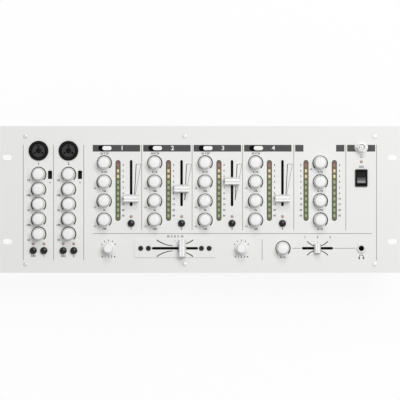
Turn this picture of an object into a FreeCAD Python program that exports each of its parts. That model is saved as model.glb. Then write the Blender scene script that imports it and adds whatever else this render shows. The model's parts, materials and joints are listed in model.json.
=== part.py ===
"""Four-channel rack-mount mixer, four rack units high, lying with its control panel facing up.

Millimetres. X runs to the right of the panel, Y towards its rear edge, Z up out of the panel.
The origin is under the middle of the panel, on the underside of the chassis.
"""

import FreeCAD
import Part
import math
import os
from collections import namedtuple

# Panel: standard rack width and four units of height, with slots for rack screws
PANEL_WIDTH = 482.6
PANEL_DEPTH = 177.0
PANEL_THICKNESS = 3.0
PANEL_CORNER = 1.5
RACK_SLOT_INSET = 8.75
RACK_SLOT_PITCH = 101.6
RACK_SLOT_LENGTH = 11.4
RACK_SLOT_WIDTH = 6.4

# Chassis: a folded sheet tray whose front and rear walls turn out into flanges under the panel
CHASSIS_HEIGHT = 84.0
CHASSIS_SIDE_INSET = 25.3
CHASSIS_EDGE_INSET = 14.0
FLANGE_WIDTH = 9.5
SHEET = 1.5
BEND_RADIUS = 3.0
VENT_COUNT = 9
VENT_PITCH = 8.0
VENT_LENGTH = 34.0
VENT_WIDTH = 3.0

# Clearances
RUNNING_GAP = 0.05
SLIDE_GAP = 0.35
SEAT_GAP = 0.2
SHAFT_HOLE_GAP = 0.6
CONTROL_LIFT = 0.9

# Boards behind the panel, held on pillars
BOARD_DROP = 18.0
BOARD_THICKNESS = 1.6
PILLAR_RADIUS = 2.5
PILLAR_INSET = 3.2
PILLAR_GAP = 0.8

# Rotary controls
KNOB_BASE_RADIUS = 7.5
KNOB_TOP_RADIUS = 6.2
KNOB_HEIGHT = 14.0
KNOB_SKIRT = 2.0
KNOB_EDGE = 1.0
KNOB_DOME = 0.5
KNOB_WALL = 1.4
KNOB_HOLLOW_WALL = 1.2
KNOB_ROOF = 3.2
KNOB_BOSS = 4.4
POINTER_WIDTH = 0.9
POINTER_DEPTH = 0.8
SHAFT_RADIUS = 3.0
SHAFT_FLAT = 1.5
SHAFT_GRIP = 9.0
POT_SIZE = 11.0
POT_HEIGHT = 7.0
POT_BUSH_RADIUS = 4.4
POT_FLOOR = 1.5
SELECTOR_SKIRT = 3.0
SELECTOR_TIP = 2.4

# Slide controls: travel, and cap size across the travel, along it and in height
SLOT_WIDTH = 2.7
SLOT_SPARE = 5.3
LEVER_THICKNESS = 1.4
LEVER_LENGTH = 5.0
CAP_TAPER = 1.3
CAP_SCOOP = 1.3
CAP_RIDGE = 0.8
CAP_SOCKET = 6.0
RAIL_WIDTH = 9.0
RAIL_HEIGHT = 9.0
RAIL_WALL = 1.2
CARRIAGE_HEIGHT = 4.0
CHANNEL_TRAVEL = 45.0
CHANNEL_CAP = (17.5, 9.5, 11.0)
CROSS_TRAVEL = 45.0
CROSS_CAP = (20.0, 9.0, 11.0)
PHONES_TRAVEL = 27.0
PHONES_CAP = (11.0, 8.0, 9.0)

# Crossfader plate on top of the panel
PLATE_WIDTH = 98.5
PLATE_DEPTH = 22.2
PLATE_THICKNESS = 1.0
RAIL_SCREW_X = 32.0

# Source switches, small slide switches, push buttons and the mains rocker
SOURCE_SLOT = (17.0, 6.6)
SOURCE_CAP = (11.3, 5.2)
SOURCE_RISE = 4.5
MODE_WINDOW = (5.0, 10.0)
MODE_CAP = (3.8, 4.6)
MODE_TRAVEL = 3.6
MODE_RECESS = 0.6
BUTTON_RADIUS = 4.0
BUTTON_RISE = 4.5
BUTTON_EDGE = 0.9
BUTTON_DOME = 0.8
BUTTON_TRAVEL = 2.5
SWITCH_SIZE = 8.0
SWITCH_HEIGHT = 7.0
PLUNGER_SIZE = 3.0
ROCKER_FRAME = (15.0, 21.0)
ROCKER_BODY = (13.0, 19.0)
ROCKER_RIM = 2.0
ROCKER_DEPTH = 16.0
ROCKER_WALL = 1.2
ROCKER_TILT = 10.0
ROCKER_PIN_RADIUS = 1.2
ROCKER_THROAT = 1.2
ROCKER_CROWN = 3.0

# Lights
LED_RADIUS = 1.5
LED_RISE = 1.2
LED_FLANGE = 0.5
METER_WIDTH = 6.2
METER_LENGTH = 73.5
METER_LEDS = 10
METER_PITCH = 6.76
METER_LED = (3.6, 1.8)
METER_LENS = 1.5

# Sockets on the panel
MIC_FLANGE_RADIUS = 12.0
MIC_FLANGE_RISE = 1.6
MIC_BARREL_RADIUS = 10.8
MIC_RING_RADII = (7.7, 9.5)
MIC_RING_DEPTH = 13.0
MIC_DEPTH = 27.0
JACK_RADIUS = 3.25
JACK_DEPTH = 24.0
MIC_PIN_RADIUS = 1.3
MIC_PIN_CIRCLE = 5.4
PHONES_BUSH_RADIUS = 4.6
PHONES_BUSH_RISE = 2.6
PHONES_NUT_RADIUS = 6.0
PHONES_NUT_HEIGHT = 1.8
PHONES_BODY = 14.0
LAMP_BARREL_RADIUS = 4.8
LAMP_BARREL_RISE = 11.0
LAMP_BARREL_WALL = 0.7
LAMP_NUT_RADIUS = 7.0
LAMP_NUT_HEIGHT = 2.4
LAMP_CORE_RADIUS = 2.4
LAMP_LUG_RADIUS = 1.0
LAMP_LUG_REACH = 5.7
LAMP_CONTACT_RADIUS = 0.7

# Sockets on the rear wall
PHONO_X = (-186.0, -156.0, -126.0, -78.0, -48.0, -18.0, 12.0, 42.0, 72.0, 102.0, 132.0)
PHONO_Z = (50.0, 30.0)
PHONO_BARREL_RADIUS = 4.2
PHONO_NECK_RADIUS = 4.8
PHONO_BORE_RADIUS = 1.7
PHONO_REACH = 8.0
PHONO_COLLAR_RADIUS = 6.0
PHONO_COLLAR_REACH = 1.0
PHONO_CARRIER = (12.0, 34.0, 12.0)
EARTH_X = 152.0
EARTH_Z = 40.0
EARTH_STUD_RADIUS = 2.0
EARTH_NUT_RADIUS = 4.5
EARTH_REACH = 8.2
INLET_X = 184.0
INLET_Z = 40.0
INLET_FLANGE = (40.0, 28.0, 2.2)
INLET_BODY = (28.0, 20.5)
INLET_CAVITY = (24.0, 16.5)
INLET_DEPTH = 20.0
INLET_FLOOR = 3.0
INLET_CORNER = 4.0
BLADE_SIZE = (2.0, 4.0)
BLADE_SPACING = 14.0
BLADE_RISE = 4.0
BLADE_SETBACK = 3.5

# Mains transformer and its board on the chassis floor
MAINS_BOARD = (96.0, 56.0)
MAINS_BOARD_LIFT = 6.0
MAINS_CENTRE = (150.0, 20.0)
CORE_SIZE = (42.0, 35.0, 15.0)
COIL_SIZE = (28.0, 30.0, 30.0)

# Panel layout, measured from the middle of the panel
MIC_X = (-194.8, -158.7)
MIC_SOCKET_Y = 58.8
MIC_KNOB_MIDDLE_Y = -5.7
MIC_KNOB_SPACE = 3.0
MIC_KNOB_USES = ("gain", "high", "mid", "low", "level")
MIC_MODE_DX = 13.9
MIC_MODE_Y = 29.7
MIC_BUTTON_DX = 6.4
MIC_LIGHT_DROP = 11.8
MIC_BUTTON_DROP = 20.0
CHANNEL_COUNT = 4
CHANNEL_X = -115.7
CHANNEL_PITCH = 60.87
CHANNEL_MIDDLE_Y = 9.75
CHANNEL_KNOB_SPACE = 7.97
CHANNEL_KNOB_USES = ("gain", "high", "mid", "low")
SOURCE_DX = 1.0
SOURCE_Y = 61.8
METER_DX = 16.8
METER_Y = 10.85
FADER_DX = 32.6
FADER_Y = 19.7
FADER_REST_Y = (1.3, 13.1, 22.1, 1.4)
CUE_LIGHT_Y = -20.6
CUE_BUTTON_Y = -28.8
MASTER_X = 145.0
MASTER_METER_DX = 17.1
MASTER_KNOB_USES = ("balance", "zone", "booth", "level")
LOWER_Y = -58.9
CROSS_X = -30.2
CROSS_REST_X = -21.2
ASSIGN_DX = 80.2
PHONES_KNOB_X = 99.9
PHONES_FADER_X = 141.8
POWER_X = 194.6
LAMP_Y = 63.0
POWER_LIGHT_Y = 45.4
ROCKER_Y = 25.9

# Levels and reaches worked out from the sizes above
PANEL_BACK = CHASSIS_HEIGHT
PANEL_TOP = PANEL_BACK + PANEL_THICKNESS
BOARD_TOP = PANEL_BACK - BOARD_DROP
WALL_X = PANEL_WIDTH / 2 - CHASSIS_SIDE_INSET
WALL_Y = PANEL_DEPTH / 2 - CHASSIS_EDGE_INSET
KNOB_BASE_Z = PANEL_TOP + CONTROL_LIFT
MIC_KNOB_PITCH = 2 * KNOB_BASE_RADIUS + MIC_KNOB_SPACE
CHANNEL_KNOB_PITCH = 2 * KNOB_BASE_RADIUS + CHANNEL_KNOB_SPACE
MIC_LOWEST_KNOB_Y = MIC_KNOB_MIDDLE_Y - MIC_KNOB_PITCH * (len(MIC_KNOB_USES) - 1) / 2
MIC_LIGHT_Y = MIC_LOWEST_KNOB_Y - MIC_LIGHT_DROP
MIC_BUTTON_Y = MIC_LOWEST_KNOB_Y - MIC_BUTTON_DROP
SOURCE_TRAVEL = SOURCE_SLOT[0] - SOURCE_CAP[0] - 2 * SLIDE_GAP
ROCKER_AXIS_Z = PANEL_TOP - ROCKER_THROAT
BOARD_MARGIN = PILLAR_INSET + PILLAR_RADIUS + PILLAR_GAP
CARRIAGE_LENGTH = LEVER_LENGTH + 2 * LEVER_THICKNESS
CROSS_OPENING = 2 * RAIL_SCREW_X + RAIL_WIDTH + 2 * SLIDE_GAP

V = FreeCAD.Vector
UP = V(0, 0, 1)
TOLERANCE = 1e-6
CORNERS = ((1, 1), (-1, 1), (-1, -1), (1, -1))
Place = namedtuple("Place", "name x y")
Fader = namedtuple("Fader", "name x y turned travel cap rest")


def rod(x, y, radius, z0, z1):
    """A cylinder standing on the panel's normal."""
    return Part.makeCylinder(radius, z1 - z0, V(x, y, z0))


def rear_rod(x, z, radius, y0, y1):
    """A cylinder lying along Y, for what goes through the rear wall."""
    return Part.makeCylinder(radius, y1 - y0, V(x, y0, z), V(0, 1, 0))


def block(x, y, width, depth, z0, z1):
    """A box centred on x and y."""
    return Part.makeBox(width, depth, z1 - z0, V(x - width / 2, y - depth / 2, z0))


def rear_block(x, z, width, height, y0, y1):
    """A box centred on x and z, for what goes through the rear wall."""
    return Part.makeBox(width, y1 - y0, height, V(x - width / 2, y0, z - height / 2))


def circle(x, y, radius, z):
    return Part.Wire(Part.makeCircle(radius, V(x, y, z)))


def rounded(x, y, width, depth, corner, z):
    """A rectangle with round corners."""
    a = width / 2 - corner
    b = depth / 2 - corner
    centres = [V(x + a, y + b, z), V(x - a, y + b, z), V(x - a, y - b, z), V(x + a, y - b, z)]
    arcs = [Part.makeCircle(corner, c, UP, 90 * k, 90 * k + 90) for k, c in enumerate(centres)]
    edges = []
    for arc, following in zip(arcs, arcs[1:] + arcs[:1]):
        end = arc.Vertexes[-1].Point
        start = following.Vertexes[0].Point
        edges.append(arc)
        if not end.isEqual(start, TOLERANCE):
            edges.append(Part.makeLine(end, start))
    return Part.Wire(edges)


def oval(x, y, width, depth, z):
    """A slot outline: straight sides and half-round ends."""
    return rounded(x, y, width, depth, min(width, depth) / 2, z)


def rectangle(x, y, width, depth, z):
    corners = [V(x + sx * width / 2, y + sy * depth / 2, z) for sx, sy in CORNERS]
    return Part.makePolygon(corners + corners[:1])


def slab(outline, holes, height):
    """A flat plate on its outline, with every hole cut straight through it."""
    face = Part.makeFace([outline] + holes, "Part::FaceMakerBullseye")
    return face.extrude(V(0, 0, height))


def turned(edges):
    """A solid turned about Z from a closed half section in the XZ plane."""
    return Part.Face(Part.Wire(edges)).revolve(V(0, 0, 0), UP, 360)


def chain(*points):
    """Straight edges from point to point of a half section, given as radius and height."""
    ends = [V(r, 0, z) for r, z in points]
    return [Part.makeLine(a, b) for a, b in zip(ends, ends[1:])]


def round_edge(radius, z, edge):
    """The quarter round that turns an upright side at radius into a flat top at z."""
    s = edge * math.sqrt(0.5)
    start = V(radius, 0, z - edge)
    middle = V(radius - edge + s, 0, z - edge + s)
    return Part.Arc(start, middle, V(radius - edge, 0, z)).toShape()


def dome(radius, z, rise):
    """The shallow arc of a half section from a rim at radius and height z up to the axis."""
    sphere = (radius ** 2 + rise ** 2) / (2 * rise)
    middle = z + rise - sphere + math.sqrt(sphere ** 2 - radius ** 2 / 4)
    return Part.Arc(V(radius, 0, z), V(radius / 2, 0, middle), V(0, 0, z + rise)).toShape()


def hexagon(x, y, radius, z0, z1):
    """A nut blank by its corner radius."""
    corners = [V(x + radius * math.cos(k * math.pi / 3), y + radius * math.sin(k * math.pi / 3), z0)
               for k in range(7)]
    return slab(Part.makePolygon(corners), [], z1 - z0)


def at(shape, x, y, turn=0):
    """A copy turned about its own upright axis and set down at x and y."""
    copy = shape.copy()
    copy.rotate(V(0, 0, 0), UP, turn)
    copy.translate(V(x, y, 0))
    return copy


def channel_places(dx, y, name):
    """One place per channel strip, measured from the strip's column of knobs."""
    return [Place(f"ch{n + 1}_{name}", CHANNEL_X + n * CHANNEL_PITCH + dx, y) for n in range(CHANNEL_COUNT)]


def column(prefix, uses, x, middle, pitch):
    """A column of knobs from the top down, centred on middle."""
    top = middle + pitch * (len(uses) - 1) / 2
    return [Place(f"{prefix}_{use}_knob", x, top - row * pitch) for row, use in enumerate(uses)]


def knob_places():
    places = []
    for n, x in enumerate(MIC_X):
        places += column(f"mic{n + 1}", MIC_KNOB_USES, x, MIC_KNOB_MIDDLE_Y, MIC_KNOB_PITCH)
    for n in range(CHANNEL_COUNT):
        x = CHANNEL_X + n * CHANNEL_PITCH
        places += column(f"ch{n + 1}", CHANNEL_KNOB_USES, x, CHANNEL_MIDDLE_Y, CHANNEL_KNOB_PITCH)
    places += column("master", MASTER_KNOB_USES, MASTER_X, CHANNEL_MIDDLE_Y, CHANNEL_KNOB_PITCH)
    places.append(Place("phones_level_knob", PHONES_KNOB_X, LOWER_Y))
    return places


def assign_places():
    return [Place("crossfader_assign_a_knob", CROSS_X - ASSIGN_DX, LOWER_Y),
            Place("crossfader_assign_b_knob", CROSS_X + ASSIGN_DX, LOWER_Y)]


def faders():
    """Every slide control. Rest is how far the cap stands from the middle of its travel."""
    found = []
    for place, rest_y in zip(channel_places(FADER_DX, FADER_Y, "fader"), FADER_REST_Y):
        rest = rest_y - FADER_Y
        found.append(Fader(place.name, place.x, place.y, False, CHANNEL_TRAVEL, CHANNEL_CAP, rest))
    found.append(Fader("crossfader", CROSS_X, LOWER_Y, True, CROSS_TRAVEL, CROSS_CAP, CROSS_REST_X - CROSS_X))
    found.append(Fader("phones_mix_fader", PHONES_FADER_X, LOWER_Y, True, PHONES_TRAVEL, PHONES_CAP, 0.0))
    return found


def mode_places():
    return [Place(f"mic{n + 1}_mode_switch", x + MIC_MODE_DX, MIC_MODE_Y) for n, x in enumerate(MIC_X)]


def button_places():
    places = []
    for n, x in enumerate(MIC_X):
        places.append(Place(f"mic{n + 1}_on_button", x - MIC_BUTTON_DX, MIC_BUTTON_Y))
        places.append(Place(f"mic{n + 1}_cue_button", x + MIC_BUTTON_DX, MIC_BUTTON_Y))
    return places + channel_places(FADER_DX, CUE_BUTTON_Y, "cue_button")


def light_places():
    lights = [Place(button.name, button.x, MIC_LIGHT_Y) for button in button_places()[:2 * len(MIC_X)]]
    lights += channel_places(FADER_DX, CUE_LIGHT_Y, "cue_light")
    return lights + [Place("power_light", POWER_X, POWER_LIGHT_Y)]


def meter_places():
    left = Place("master_left", MASTER_X - MASTER_METER_DX, METER_Y)
    right = Place("master_right", MASTER_X + MASTER_METER_DX, METER_Y)
    return channel_places(METER_DX, METER_Y, "meter") + [left, right]


def slot_length(travel):
    return travel + LEVER_LENGTH + SLOT_SPARE


def front_panel():
    z = PANEL_BACK
    holes = []
    for sx, sy in CORNERS:
        x = sx * (PANEL_WIDTH / 2 - RACK_SLOT_INSET)
        holes.append(oval(x, sy * RACK_SLOT_PITCH / 2, RACK_SLOT_LENGTH, RACK_SLOT_WIDTH, z))
    for place in knob_places() + assign_places():
        holes.append(circle(place.x, place.y, SHAFT_RADIUS + SHAFT_HOLE_GAP, z))
    for fader in faders():
        if fader.name == "crossfader":
            holes.append(rectangle(fader.x, fader.y, CROSS_OPENING, RAIL_WIDTH + 2 * SLIDE_GAP, z))
        elif fader.turned:
            holes.append(oval(fader.x, fader.y, slot_length(fader.travel), SLOT_WIDTH, z))
        else:
            holes.append(oval(fader.x, fader.y, SLOT_WIDTH, slot_length(fader.travel), z))
    for place in channel_places(SOURCE_DX, SOURCE_Y, "source"):
        holes.append(oval(place.x, place.y, SOURCE_SLOT[0], SOURCE_SLOT[1], z))
    for place in mode_places():
        holes.append(rectangle(place.x, place.y, MODE_WINDOW[0], MODE_WINDOW[1], z))
    for place in button_places():
        holes.append(circle(place.x, place.y, BUTTON_RADIUS + SLIDE_GAP, z))
    for place in light_places():
        holes.append(circle(place.x, place.y, LED_RADIUS + SEAT_GAP, z))
    for place in meter_places():
        holes.append(oval(place.x, place.y, METER_WIDTH, METER_LENGTH, z))
    for x in MIC_X:
        holes.append(circle(x, MIC_SOCKET_Y, MIC_BARREL_RADIUS + SEAT_GAP, z))
    holes.append(circle(POWER_X, LOWER_Y, PHONES_BUSH_RADIUS + SEAT_GAP, z))
    holes.append(circle(POWER_X, LAMP_Y, LAMP_BARREL_RADIUS + SEAT_GAP, z))
    room = 2 * SEAT_GAP
    holes.append(rectangle(POWER_X, ROCKER_Y, ROCKER_BODY[0] + room, ROCKER_BODY[1] + room, z))
    outline = rounded(0, 0, PANEL_WIDTH, PANEL_DEPTH, PANEL_CORNER, z)
    return slab(outline, holes, PANEL_THICKNESS)


def crossfader_plate():
    slot = oval(CROSS_X, LOWER_Y, slot_length(CROSS_TRAVEL), SLOT_WIDTH, PANEL_TOP)
    outline = rounded(CROSS_X, LOWER_Y, PLATE_WIDTH, PLATE_DEPTH, PANEL_CORNER, PANEL_TOP)
    return slab(outline, [slot], PLATE_THICKNESS)


def chassis():
    """The folded tray, open at the top, with the rear sockets' holes and vents in its side walls."""
    width = 2 * WALL_X
    depth = 2 * WALL_Y
    tray = block(0, 0, width, depth, 0, CHASSIS_HEIGHT)
    tray = tray.makeFillet(BEND_RADIUS, [e for e in tray.Edges if e.BoundBox.ZMax < SHEET])
    inside = block(0, 0, width - 2 * SHEET, depth - 2 * SHEET, SHEET, CHASSIS_HEIGHT)
    inner_bend = BEND_RADIUS - SHEET
    inside = inside.makeFillet(inner_bend, [e for e in inside.Edges if e.BoundBox.ZMax < SHEET + inner_bend])
    tray = tray.cut(inside)
    for side in (1, -1):
        y = side * (WALL_Y + FLANGE_WIDTH / 2)
        tray = tray.fuse(block(0, y, width, FLANGE_WIDTH, CHASSIS_HEIGHT - SHEET, CHASSIS_HEIGHT))
    cuts = [rear_block(INLET_X, INLET_Z, INLET_BODY[0] + 2 * SEAT_GAP, INLET_BODY[1] + 2 * SEAT_GAP,
                       WALL_Y - 2 * SHEET, WALL_Y + SHEET)]
    cuts.append(rear_rod(EARTH_X, EARTH_Z, EARTH_STUD_RADIUS + SEAT_GAP, WALL_Y - 2 * SHEET, WALL_Y + SHEET))
    for x in PHONO_X:
        for z in PHONO_Z:
            radius = PHONO_NECK_RADIUS + SEAT_GAP
            cuts.append(rear_rod(x, z, radius, WALL_Y - 2 * SHEET, WALL_Y + SHEET))
    for n in range(VENT_COUNT):
        y = (n - (VENT_COUNT - 1) / 2) * VENT_PITCH
        z = CHASSIS_HEIGHT / 2
        cuts.append(block(0, y, width + SHEET, VENT_WIDTH, z - VENT_LENGTH / 2, z + VENT_LENGTH / 2))
    return tray.cut(Part.makeCompound(cuts)).removeSplitter()


def flatted(radius, z0, z1):
    """A round bar with one flat, as on a shaft that takes a push-on knob."""
    flat = block(0, SHAFT_FLAT - 2 * radius, 2 * radius, 2 * radius, z0, z1)
    return rod(0, 0, radius, z0, z1).cut(flat)


def shaft():
    lower = rod(0, 0, SHAFT_RADIUS, BOARD_TOP + POT_FLOOR + SLIDE_GAP, PANEL_TOP)
    return lower.fuse(flatted(SHAFT_RADIUS, PANEL_TOP, KNOB_BASE_Z + SHAFT_GRIP))


def shaft_socket():
    return flatted(SHAFT_RADIUS, KNOB_BASE_Z, KNOB_BASE_Z + SHAFT_GRIP + SEAT_GAP)


def knob_cap():
    """A tapered cap on a short skirt, hollow round the boss that grips the shaft, with a pointer groove."""
    base = KNOB_BASE_Z
    top = base + KNOB_HEIGHT
    rim = top - KNOB_DOME
    side = chain((0, base), (KNOB_BASE_RADIUS, base), (KNOB_BASE_RADIUS, base + KNOB_SKIRT),
                 (KNOB_TOP_RADIUS, rim - KNOB_EDGE))
    crown = [round_edge(KNOB_TOP_RADIUS, rim, KNOB_EDGE), dome(KNOB_TOP_RADIUS - KNOB_EDGE, rim, KNOB_DOME)]
    cap = turned(side + crown + chain((0, top), (0, base)))
    hollow = rod(0, 0, KNOB_TOP_RADIUS - KNOB_HOLLOW_WALL, base, top - KNOB_ROOF)
    cap = cap.cut(hollow.cut(rod(0, 0, KNOB_BOSS, base, top - KNOB_ROOF)))
    length = 2 * (KNOB_BASE_RADIUS - KNOB_WALL)
    pointer = block(0, KNOB_BASE_RADIUS, POINTER_WIDTH, length, top - POINTER_DEPTH, top)
    return cap.cut(pointer).cut(shaft_socket())


def teardrop(radius, tip, reach, z):
    """The outline of a pointer grip: a large round tail and a small round tip joined by tangents."""
    lean = math.asin((radius - tip) / reach)
    c = math.cos(lean)
    s = math.sin(lean)
    tail_right = V(radius * c, radius * s, z)
    tail_left = V(-radius * c, radius * s, z)
    tip_right = V(tip * c, reach + tip * s, z)
    tip_left = V(-tip * c, reach + tip * s, z)
    tail = Part.Arc(tail_left, V(0, -radius, z), tail_right).toShape()
    nose = Part.Arc(tip_right, V(0, reach + tip, z), tip_left).toShape()
    return Part.Wire([tail, Part.makeLine(tail_right, tip_right), nose, Part.makeLine(tip_left, tail_left)])


def assign_cap():
    """A pointer knob: a round skirt under a grip that tapers to its nose and towards its top."""
    skirt_top = KNOB_BASE_Z + SELECTOR_SKIRT
    reach = KNOB_BASE_RADIUS - SELECTOR_TIP
    skirt = rod(0, 0, KNOB_BASE_RADIUS, KNOB_BASE_Z, skirt_top)
    lower = teardrop(KNOB_TOP_RADIUS, SELECTOR_TIP, reach, skirt_top)
    upper = teardrop(KNOB_TOP_RADIUS - KNOB_WALL, SELECTOR_TIP - KNOB_EDGE, reach, KNOB_BASE_Z + KNOB_HEIGHT)
    grip = Part.makeLoft([lower, upper], True)
    return skirt.fuse(grip).cut(shaft_socket())


def rotary_body():
    """A potentiometer or rotary switch on the board, with the bush that its shaft turns in."""
    body = block(0, 0, POT_SIZE, POT_SIZE, BOARD_TOP, BOARD_TOP + POT_HEIGHT)
    body = body.fuse(rod(0, 0, POT_BUSH_RADIUS, BOARD_TOP + POT_HEIGHT, PANEL_BACK - CONTROL_LIFT))
    return body.cut(rod(0, 0, SHAFT_RADIUS + RUNNING_GAP, BOARD_TOP + POT_FLOOR, PANEL_BACK))


def fader_base(fader):
    """The level of a cap's underside."""
    return KNOB_BASE_Z + (PLATE_THICKNESS if fader.name == "crossfader" else 0)


def rail_top(fader):
    """The crossfader's rail hangs under its plate, and the others stand on the board."""
    return PANEL_TOP if fader.name == "crossfader" else BOARD_TOP + RAIL_HEIGHT


def fader_cap(fader):
    """A cap with two finger scoops and a ridge between them, on a socket for the lever."""
    across, along, height = fader.cap
    base = fader_base(fader)
    top = base + height
    foot = along / 2
    brow = foot - CAP_TAPER
    ridge = CAP_RIDGE / 2
    dip = (brow + ridge) / 2
    x = -across / 2
    outline = [Part.makeLine(V(x, -foot, base), V(x, foot, base)),
               Part.makeLine(V(x, foot, base), V(x, brow, top)),
               Part.Arc(V(x, brow, top), V(x, dip, top - CAP_SCOOP), V(x, ridge, top)).toShape(),
               Part.makeLine(V(x, ridge, top), V(x, -ridge, top)),
               Part.Arc(V(x, -ridge, top), V(x, -dip, top - CAP_SCOOP), V(x, -brow, top)).toShape(),
               Part.makeLine(V(x, -brow, top), V(x, -foot, base))]
    cap = Part.Face(Part.Wire(outline)).extrude(V(across, 0, 0))
    return cap.cut(block(0, 0, LEVER_THICKNESS, LEVER_LENGTH, base, base + CAP_SOCKET))


def fader_slider(fader):
    """The carriage in the rail and the flat lever that reaches up through the slot into the cap."""
    bottom = rail_top(fader) - RAIL_HEIGHT + RAIL_WALL + SLIDE_GAP
    width = RAIL_WIDTH - 2 * RAIL_WALL - 2 * SLIDE_GAP
    carriage = block(0, 0, width, CARRIAGE_LENGTH, bottom, bottom + CARRIAGE_HEIGHT)
    tip = fader_base(fader) + CAP_SOCKET
    lever = block(0, 0, LEVER_THICKNESS, LEVER_LENGTH, bottom + CARRIAGE_HEIGHT, tip)
    return carriage.fuse(lever)


def fader_rail(fader):
    """A closed channel with a slot in its top, and screw tabs where it hangs from a plate."""
    top = rail_top(fader)
    inner = fader.travel + CARRIAGE_LENGTH + 2 * SLIDE_GAP
    rail = block(0, 0, RAIL_WIDTH, inner + 2 * RAIL_WALL, top - RAIL_HEIGHT, top)
    if fader.name == "crossfader":
        rail = rail.fuse(block(0, 0, RAIL_WIDTH, 2 * RAIL_SCREW_X + RAIL_WIDTH, top - RAIL_WALL, top))
    cavity = block(0, 0, RAIL_WIDTH - 2 * RAIL_WALL, inner, top - RAIL_HEIGHT + RAIL_WALL, top - RAIL_WALL)
    lever_slot = block(0, 0, SLOT_WIDTH, slot_length(fader.travel), top - RAIL_WALL, top)
    return rail.cut(cavity).cut(lever_slot)


def placed_fader(shape, fader, offset):
    turn = -90 if fader.turned else 0
    dx = offset if fader.turned else 0
    dy = 0 if fader.turned else offset
    return at(shape, fader.x + dx, fader.y + dy, turn)


def source_cap():
    """A pill-shaped slider that stands through the panel, on a tongue into its switch."""
    bottom = PANEL_BACK - CONTROL_LIFT
    top = PANEL_TOP + SOURCE_RISE
    pill = slab(oval(0, 0, SOURCE_CAP[0], SOURCE_CAP[1], bottom), [], top - bottom)
    rim = [e for e in pill.Edges if e.BoundBox.ZMin > top - TOLERANCE]
    pill = pill.makeFillet(BUTTON_EDGE, rim)
    tongue = block(0, 0, PLUNGER_SIZE, LEVER_THICKNESS, BOARD_TOP + SWITCH_HEIGHT / 2, bottom)
    return pill.fuse(tongue)


def source_body():
    top = BOARD_TOP + SWITCH_HEIGHT
    body = block(0, 0, SOURCE_SLOT[0] + PLUNGER_SIZE, SWITCH_SIZE, BOARD_TOP, top)
    length = PLUNGER_SIZE + SOURCE_TRAVEL + 2 * SLIDE_GAP
    return body.cut(block(0, 0, length, LEVER_THICKNESS + 2 * SLIDE_GAP, BOARD_TOP + POT_FLOOR, top))


def mode_cap():
    top = PANEL_TOP - MODE_RECESS
    return block(0, 0, MODE_CAP[0], MODE_CAP[1], PANEL_BACK - SWITCH_HEIGHT / 2, top)


def mode_body():
    """A slide switch that stands on the board and fills the panel's window from behind."""
    top = PANEL_BACK - SEAT_GAP
    body = block(0, 0, MODE_WINDOW[0] + PLUNGER_SIZE, MODE_WINDOW[1] + PLUNGER_SIZE, BOARD_TOP, top)
    length = MODE_CAP[1] + MODE_TRAVEL + 2 * SLIDE_GAP
    return body.cut(block(0, 0, MODE_CAP[0] + 2 * SLIDE_GAP, length, PANEL_BACK - SWITCH_HEIGHT, top))


def button_cap():
    """A round button with a softened rim and a domed top on a square plunger."""
    bottom = PANEL_BACK - CONTROL_LIFT
    top = PANEL_TOP + BUTTON_RISE
    rim = top - BUTTON_DOME
    side = chain((0, bottom), (BUTTON_RADIUS, bottom), (BUTTON_RADIUS, rim - BUTTON_EDGE))
    crown = [round_edge(BUTTON_RADIUS, rim, BUTTON_EDGE), dome(BUTTON_RADIUS - BUTTON_EDGE, rim, BUTTON_DOME)]
    cap = turned(side + crown + chain((0, top), (0, bottom)))
    reach = BOARD_TOP + POT_FLOOR + BUTTON_TRAVEL + SLIDE_GAP
    return cap.fuse(block(0, 0, PLUNGER_SIZE, PLUNGER_SIZE, reach, bottom))


def button_body():
    top = BOARD_TOP + SWITCH_HEIGHT
    side = PLUNGER_SIZE + 2 * SLIDE_GAP
    body = block(0, 0, SWITCH_SIZE, SWITCH_SIZE, BOARD_TOP, top)
    return body.cut(block(0, 0, side, side, BOARD_TOP + POT_FLOOR, top))


def rocker():
    """A paddle of two flat halves in a shallow V that tips on pins, shown with its rear half pressed in."""
    radius = ROCKER_BODY[1] / 2 - ROCKER_WALL - SLIDE_GAP
    tilt = math.radians(ROCKER_TILT)
    end = tilt + math.asin(ROCKER_CROWN * math.cos(tilt) / radius)
    foot = math.radians(2 * ROCKER_TILT)
    half = (ROCKER_BODY[0] - 2 * ROCKER_WALL) / 2 - SLIDE_GAP
    tops = [V(-half, s * radius * math.cos(end), radius * math.sin(end)) for s in (1, -1)]
    feet = [V(-half, s * radius * math.cos(foot), -radius * math.sin(foot)) for s in (1, -1)]
    crown = V(-half, 0, ROCKER_CROWN)
    outline = [Part.Arc(feet[0], V(-half, radius, 0), tops[0]).toShape(), Part.makeLine(tops[0], crown),
               Part.makeLine(crown, tops[1]), Part.Arc(tops[1], V(-half, -radius, 0), feet[1]).toShape(),
               Part.makeLine(feet[1], feet[0])]
    paddle = Part.Face(Part.Wire(outline)).extrude(V(2 * half, 0, 0))
    reach = ROCKER_BODY[0] / 2
    paddle = paddle.fuse(Part.makeCylinder(ROCKER_PIN_RADIUS, 2 * reach, V(-reach, 0, 0), V(1, 0, 0)))
    paddle.rotate(V(0, 0, 0), V(1, 0, 0), -ROCKER_TILT)
    paddle.translate(V(POWER_X, ROCKER_Y, ROCKER_AXIS_Z))
    return paddle


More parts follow.
